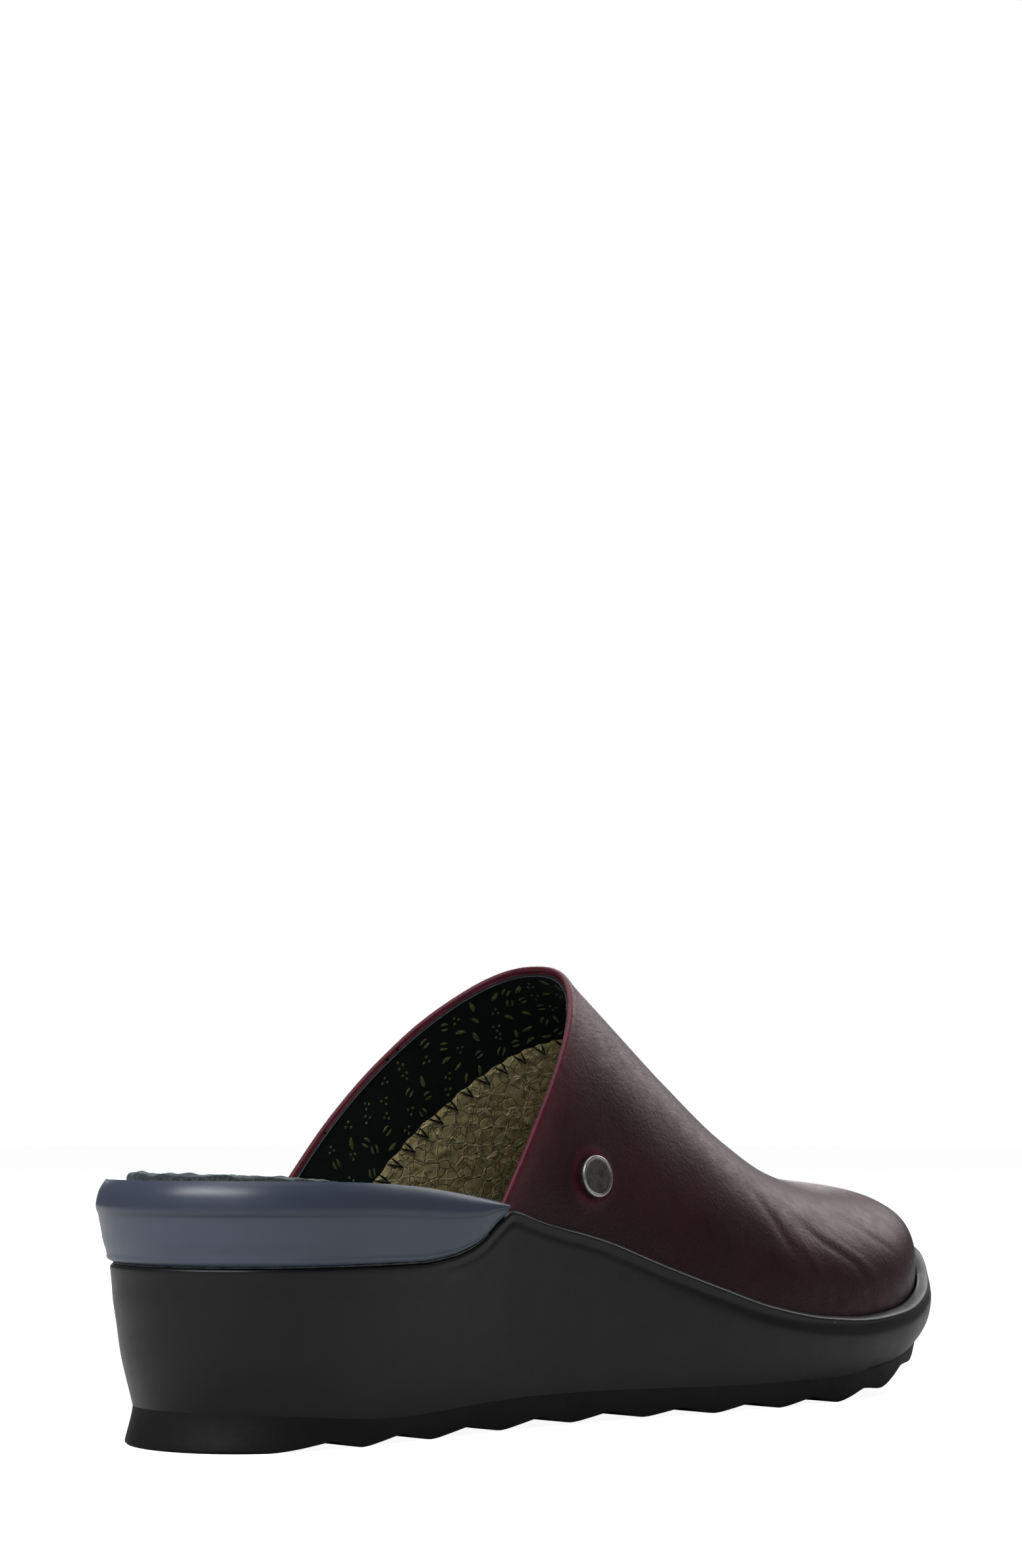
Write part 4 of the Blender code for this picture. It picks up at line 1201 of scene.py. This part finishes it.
def build_print(finish):
    """Small leaves, leaf pairs and seeds printed on the woven lining in staggered rows."""
    rng = np.random.default_rng(41)
    grids = []
    for row in range(PRINT_ROWS):
        for column in range(PRINT_COLUMNS):
            stagger = 0.5 * (row % 2) + rng.uniform(-0.24, 0.24)
            angle = -0.96 + 1.92 * (column + stagger) / PRINT_COLUMNS
            spin = rng.uniform(0, 2 * math.pi)
            size = rng.uniform(2.5, 3.1) * MM
            share = (row + 0.4 + rng.uniform(-0.2, 0.2)) / (PRINT_ROWS - 0.2)
            kind = int(rng.integers(3))
            if abs(angle) <= 0.96:
                first = OPENING + 2.6 * MM / STATION_WAY
                last = border_station(abs(angle)) - 1.0 * MM / STATION_WAY
                grids += motif_grids(kind, first + (last - first) * share, angle, spin, size)
    make("lining_print", grids, finish)


def build_button(finish):
    """Domed cap with a rounded rim round a slightly sunk face."""
    point = upper_point(*BUTTON_AT)
    normal = upper_normal(*BUTTON_AT)
    turn = Vector(normal).to_track_quat("Z", "Y").to_matrix().to_4x4()
    place = np.array(Matrix.Translation(Vector(point)) @ turn)
    seat = 0.1 * MM
    top = 2 * CLEARANCE + BUTTON_THICKNESS
    radius = BUTTON_RADIUS
    profile = [(0.0, seat), (0.5 * radius, seat), (radius - 0.5 * MM, seat)]
    for step in spread(-0.5, 0.5, 9) * math.pi:
        profile.append((radius - 0.5 * MM + 0.5 * MM * math.cos(step),
                        top - 0.62 * MM + 0.62 * MM * math.sin(step)))
    for inset, sunk in ((0.72, 0.05), (0.88, 0.22), (1.05, 0.27)):
        profile.append((radius - inset * MM, top - sunk * MM))
    for share in spread(0.85, 0, 12):
        dome = 0.12 * MM * (1 - share ** 2)
        profile.append((share * (radius - 1.2 * MM), top - 0.26 * MM + dome))
    profile = np.array(profile)
    turns = spread(0, 2 * math.pi, 97)
    x = profile[:, :1] * np.cos(turns)
    y = profile[:, :1] * np.sin(turns)
    local = np.stack([x, y, profile[:, 1:] + 0 * x, np.ones_like(x)], axis=-1)
    rim = hill(profile[:, 0] - (radius - 0.42 * MM), 0.3 * MM)
    rim *= profile[:, 1] > top - 0.9 * MM
    piece = make("metal_button", [(local @ place.T)[..., :3]], finish,
                 fields={"rim": rim[:, None] + 0 * x})
    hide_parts("button")


def aim(item, way):
    """Turn a lamp or camera to look along a way."""
    item.rotation_euler = Vector(way).to_track_quat("-Z", "Y").to_euler()


def build_stage():
    """Pale floor, soft lights and a pale surround."""
    mesh = bpy.data.meshes.new("floor")
    corners = [(x * FLOOR_REACH, y * FLOOR_REACH, 0)
               for x, y in ((-1, -1), (1, -1), (1, 1), (-1, 1))]
    mesh.from_pydata(corners, [], [(0, 1, 2, 3)])
    floor = link("floor", mesh)
    look = Look("pale_floor", roughness=0.9, specular_ior_level=0.0,
                base_color=tone(190, 190, 190), emission_color=tone(255, 255, 255))
    seen = look.add("ShaderNodeLightPath").outputs["Is Camera Ray"]
    glow = look.calc("MULTIPLY", seen, FLOOR_GLOW)
    look.tree.links.new(glow, look.shader.inputs["Emission Strength"])
    mesh.materials.append(look.finish)
    for name, place, target, width, height, power in LIGHTS:
        light = bpy.data.lights.new(name, "AREA")
        light.shape = "RECTANGLE"
        light.size = width
        light.size_y = height
        light.energy = power
        lamp = link(name, light)
        lamp.location = place
        aim(lamp, Vector(target) - Vector(place))
    world = bpy.data.worlds.new("pale_surround")
    bpy.context.scene.world = world
    world.use_nodes = True
    tree = world.node_tree
    tree.nodes.clear()
    seen = add(tree, "ShaderNodeLightPath").outputs["Is Camera Ray"]
    dim = add(tree, "ShaderNodeBackground", {"Color": tone(250, 250, 252),
                                              "Strength": SURROUND_GLOW})
    pale = add(tree, "ShaderNodeBackground", {"Color": tone(255, 255, 255), "Strength": 1.0})
    mixed = add(tree, "ShaderNodeMixShader", {0: seen, 1: dim.outputs[0], 2: pale.outputs[0]})
    add(tree, "ShaderNodeOutputWorld", {"Surface": mixed.outputs[0]})


def build_camera():
    """Camera at the photograph's angle: low, from the outer side behind the heel."""
    data = bpy.data.cameras.new("camera")
    data.sensor_fit = "AUTO"
    data.sensor_width = 36
    data.lens = CAMERA_LENS
    data.clip_start = 0.01
    camera = link("camera", data)
    camera.location = CAMERA_PLACE
    level = math.cos(CAMERA_CLIMB)
    aim(camera, (math.sin(CAMERA_TURN) * level, math.cos(CAMERA_TURN) * level,
                 math.sin(CAMERA_CLIMB)))
    bpy.context.scene.camera = camera


bpy.context.scene.view_settings.view_transform = "Standard"
build_camera()
build_stage()
build_midsole(foam_finish())
build_outsole(rubber_finish())
build_collar(collar_finish())
# painted shade: dark grey-blue strip in the gap under the collar
build_gap_shade(plain_finish("painted_gap_shade", (18, 18, 20), (96, 98, 104), 2.6, 0.1))
build_insole(insole_finish())
build_leather(leather_finish())
build_textile(textile_finish())
build_olive(olive_finish())
build_piping(plain_finish("grey_blue_line", (40, 44, 50), (88, 94, 102), 1.5, 0.05))
build_stitches(plain_finish("black_thread", (8, 8, 9), (24, 24, 26), 0.5, 0.05))
build_print(print_finish())
build_button(button_finish())
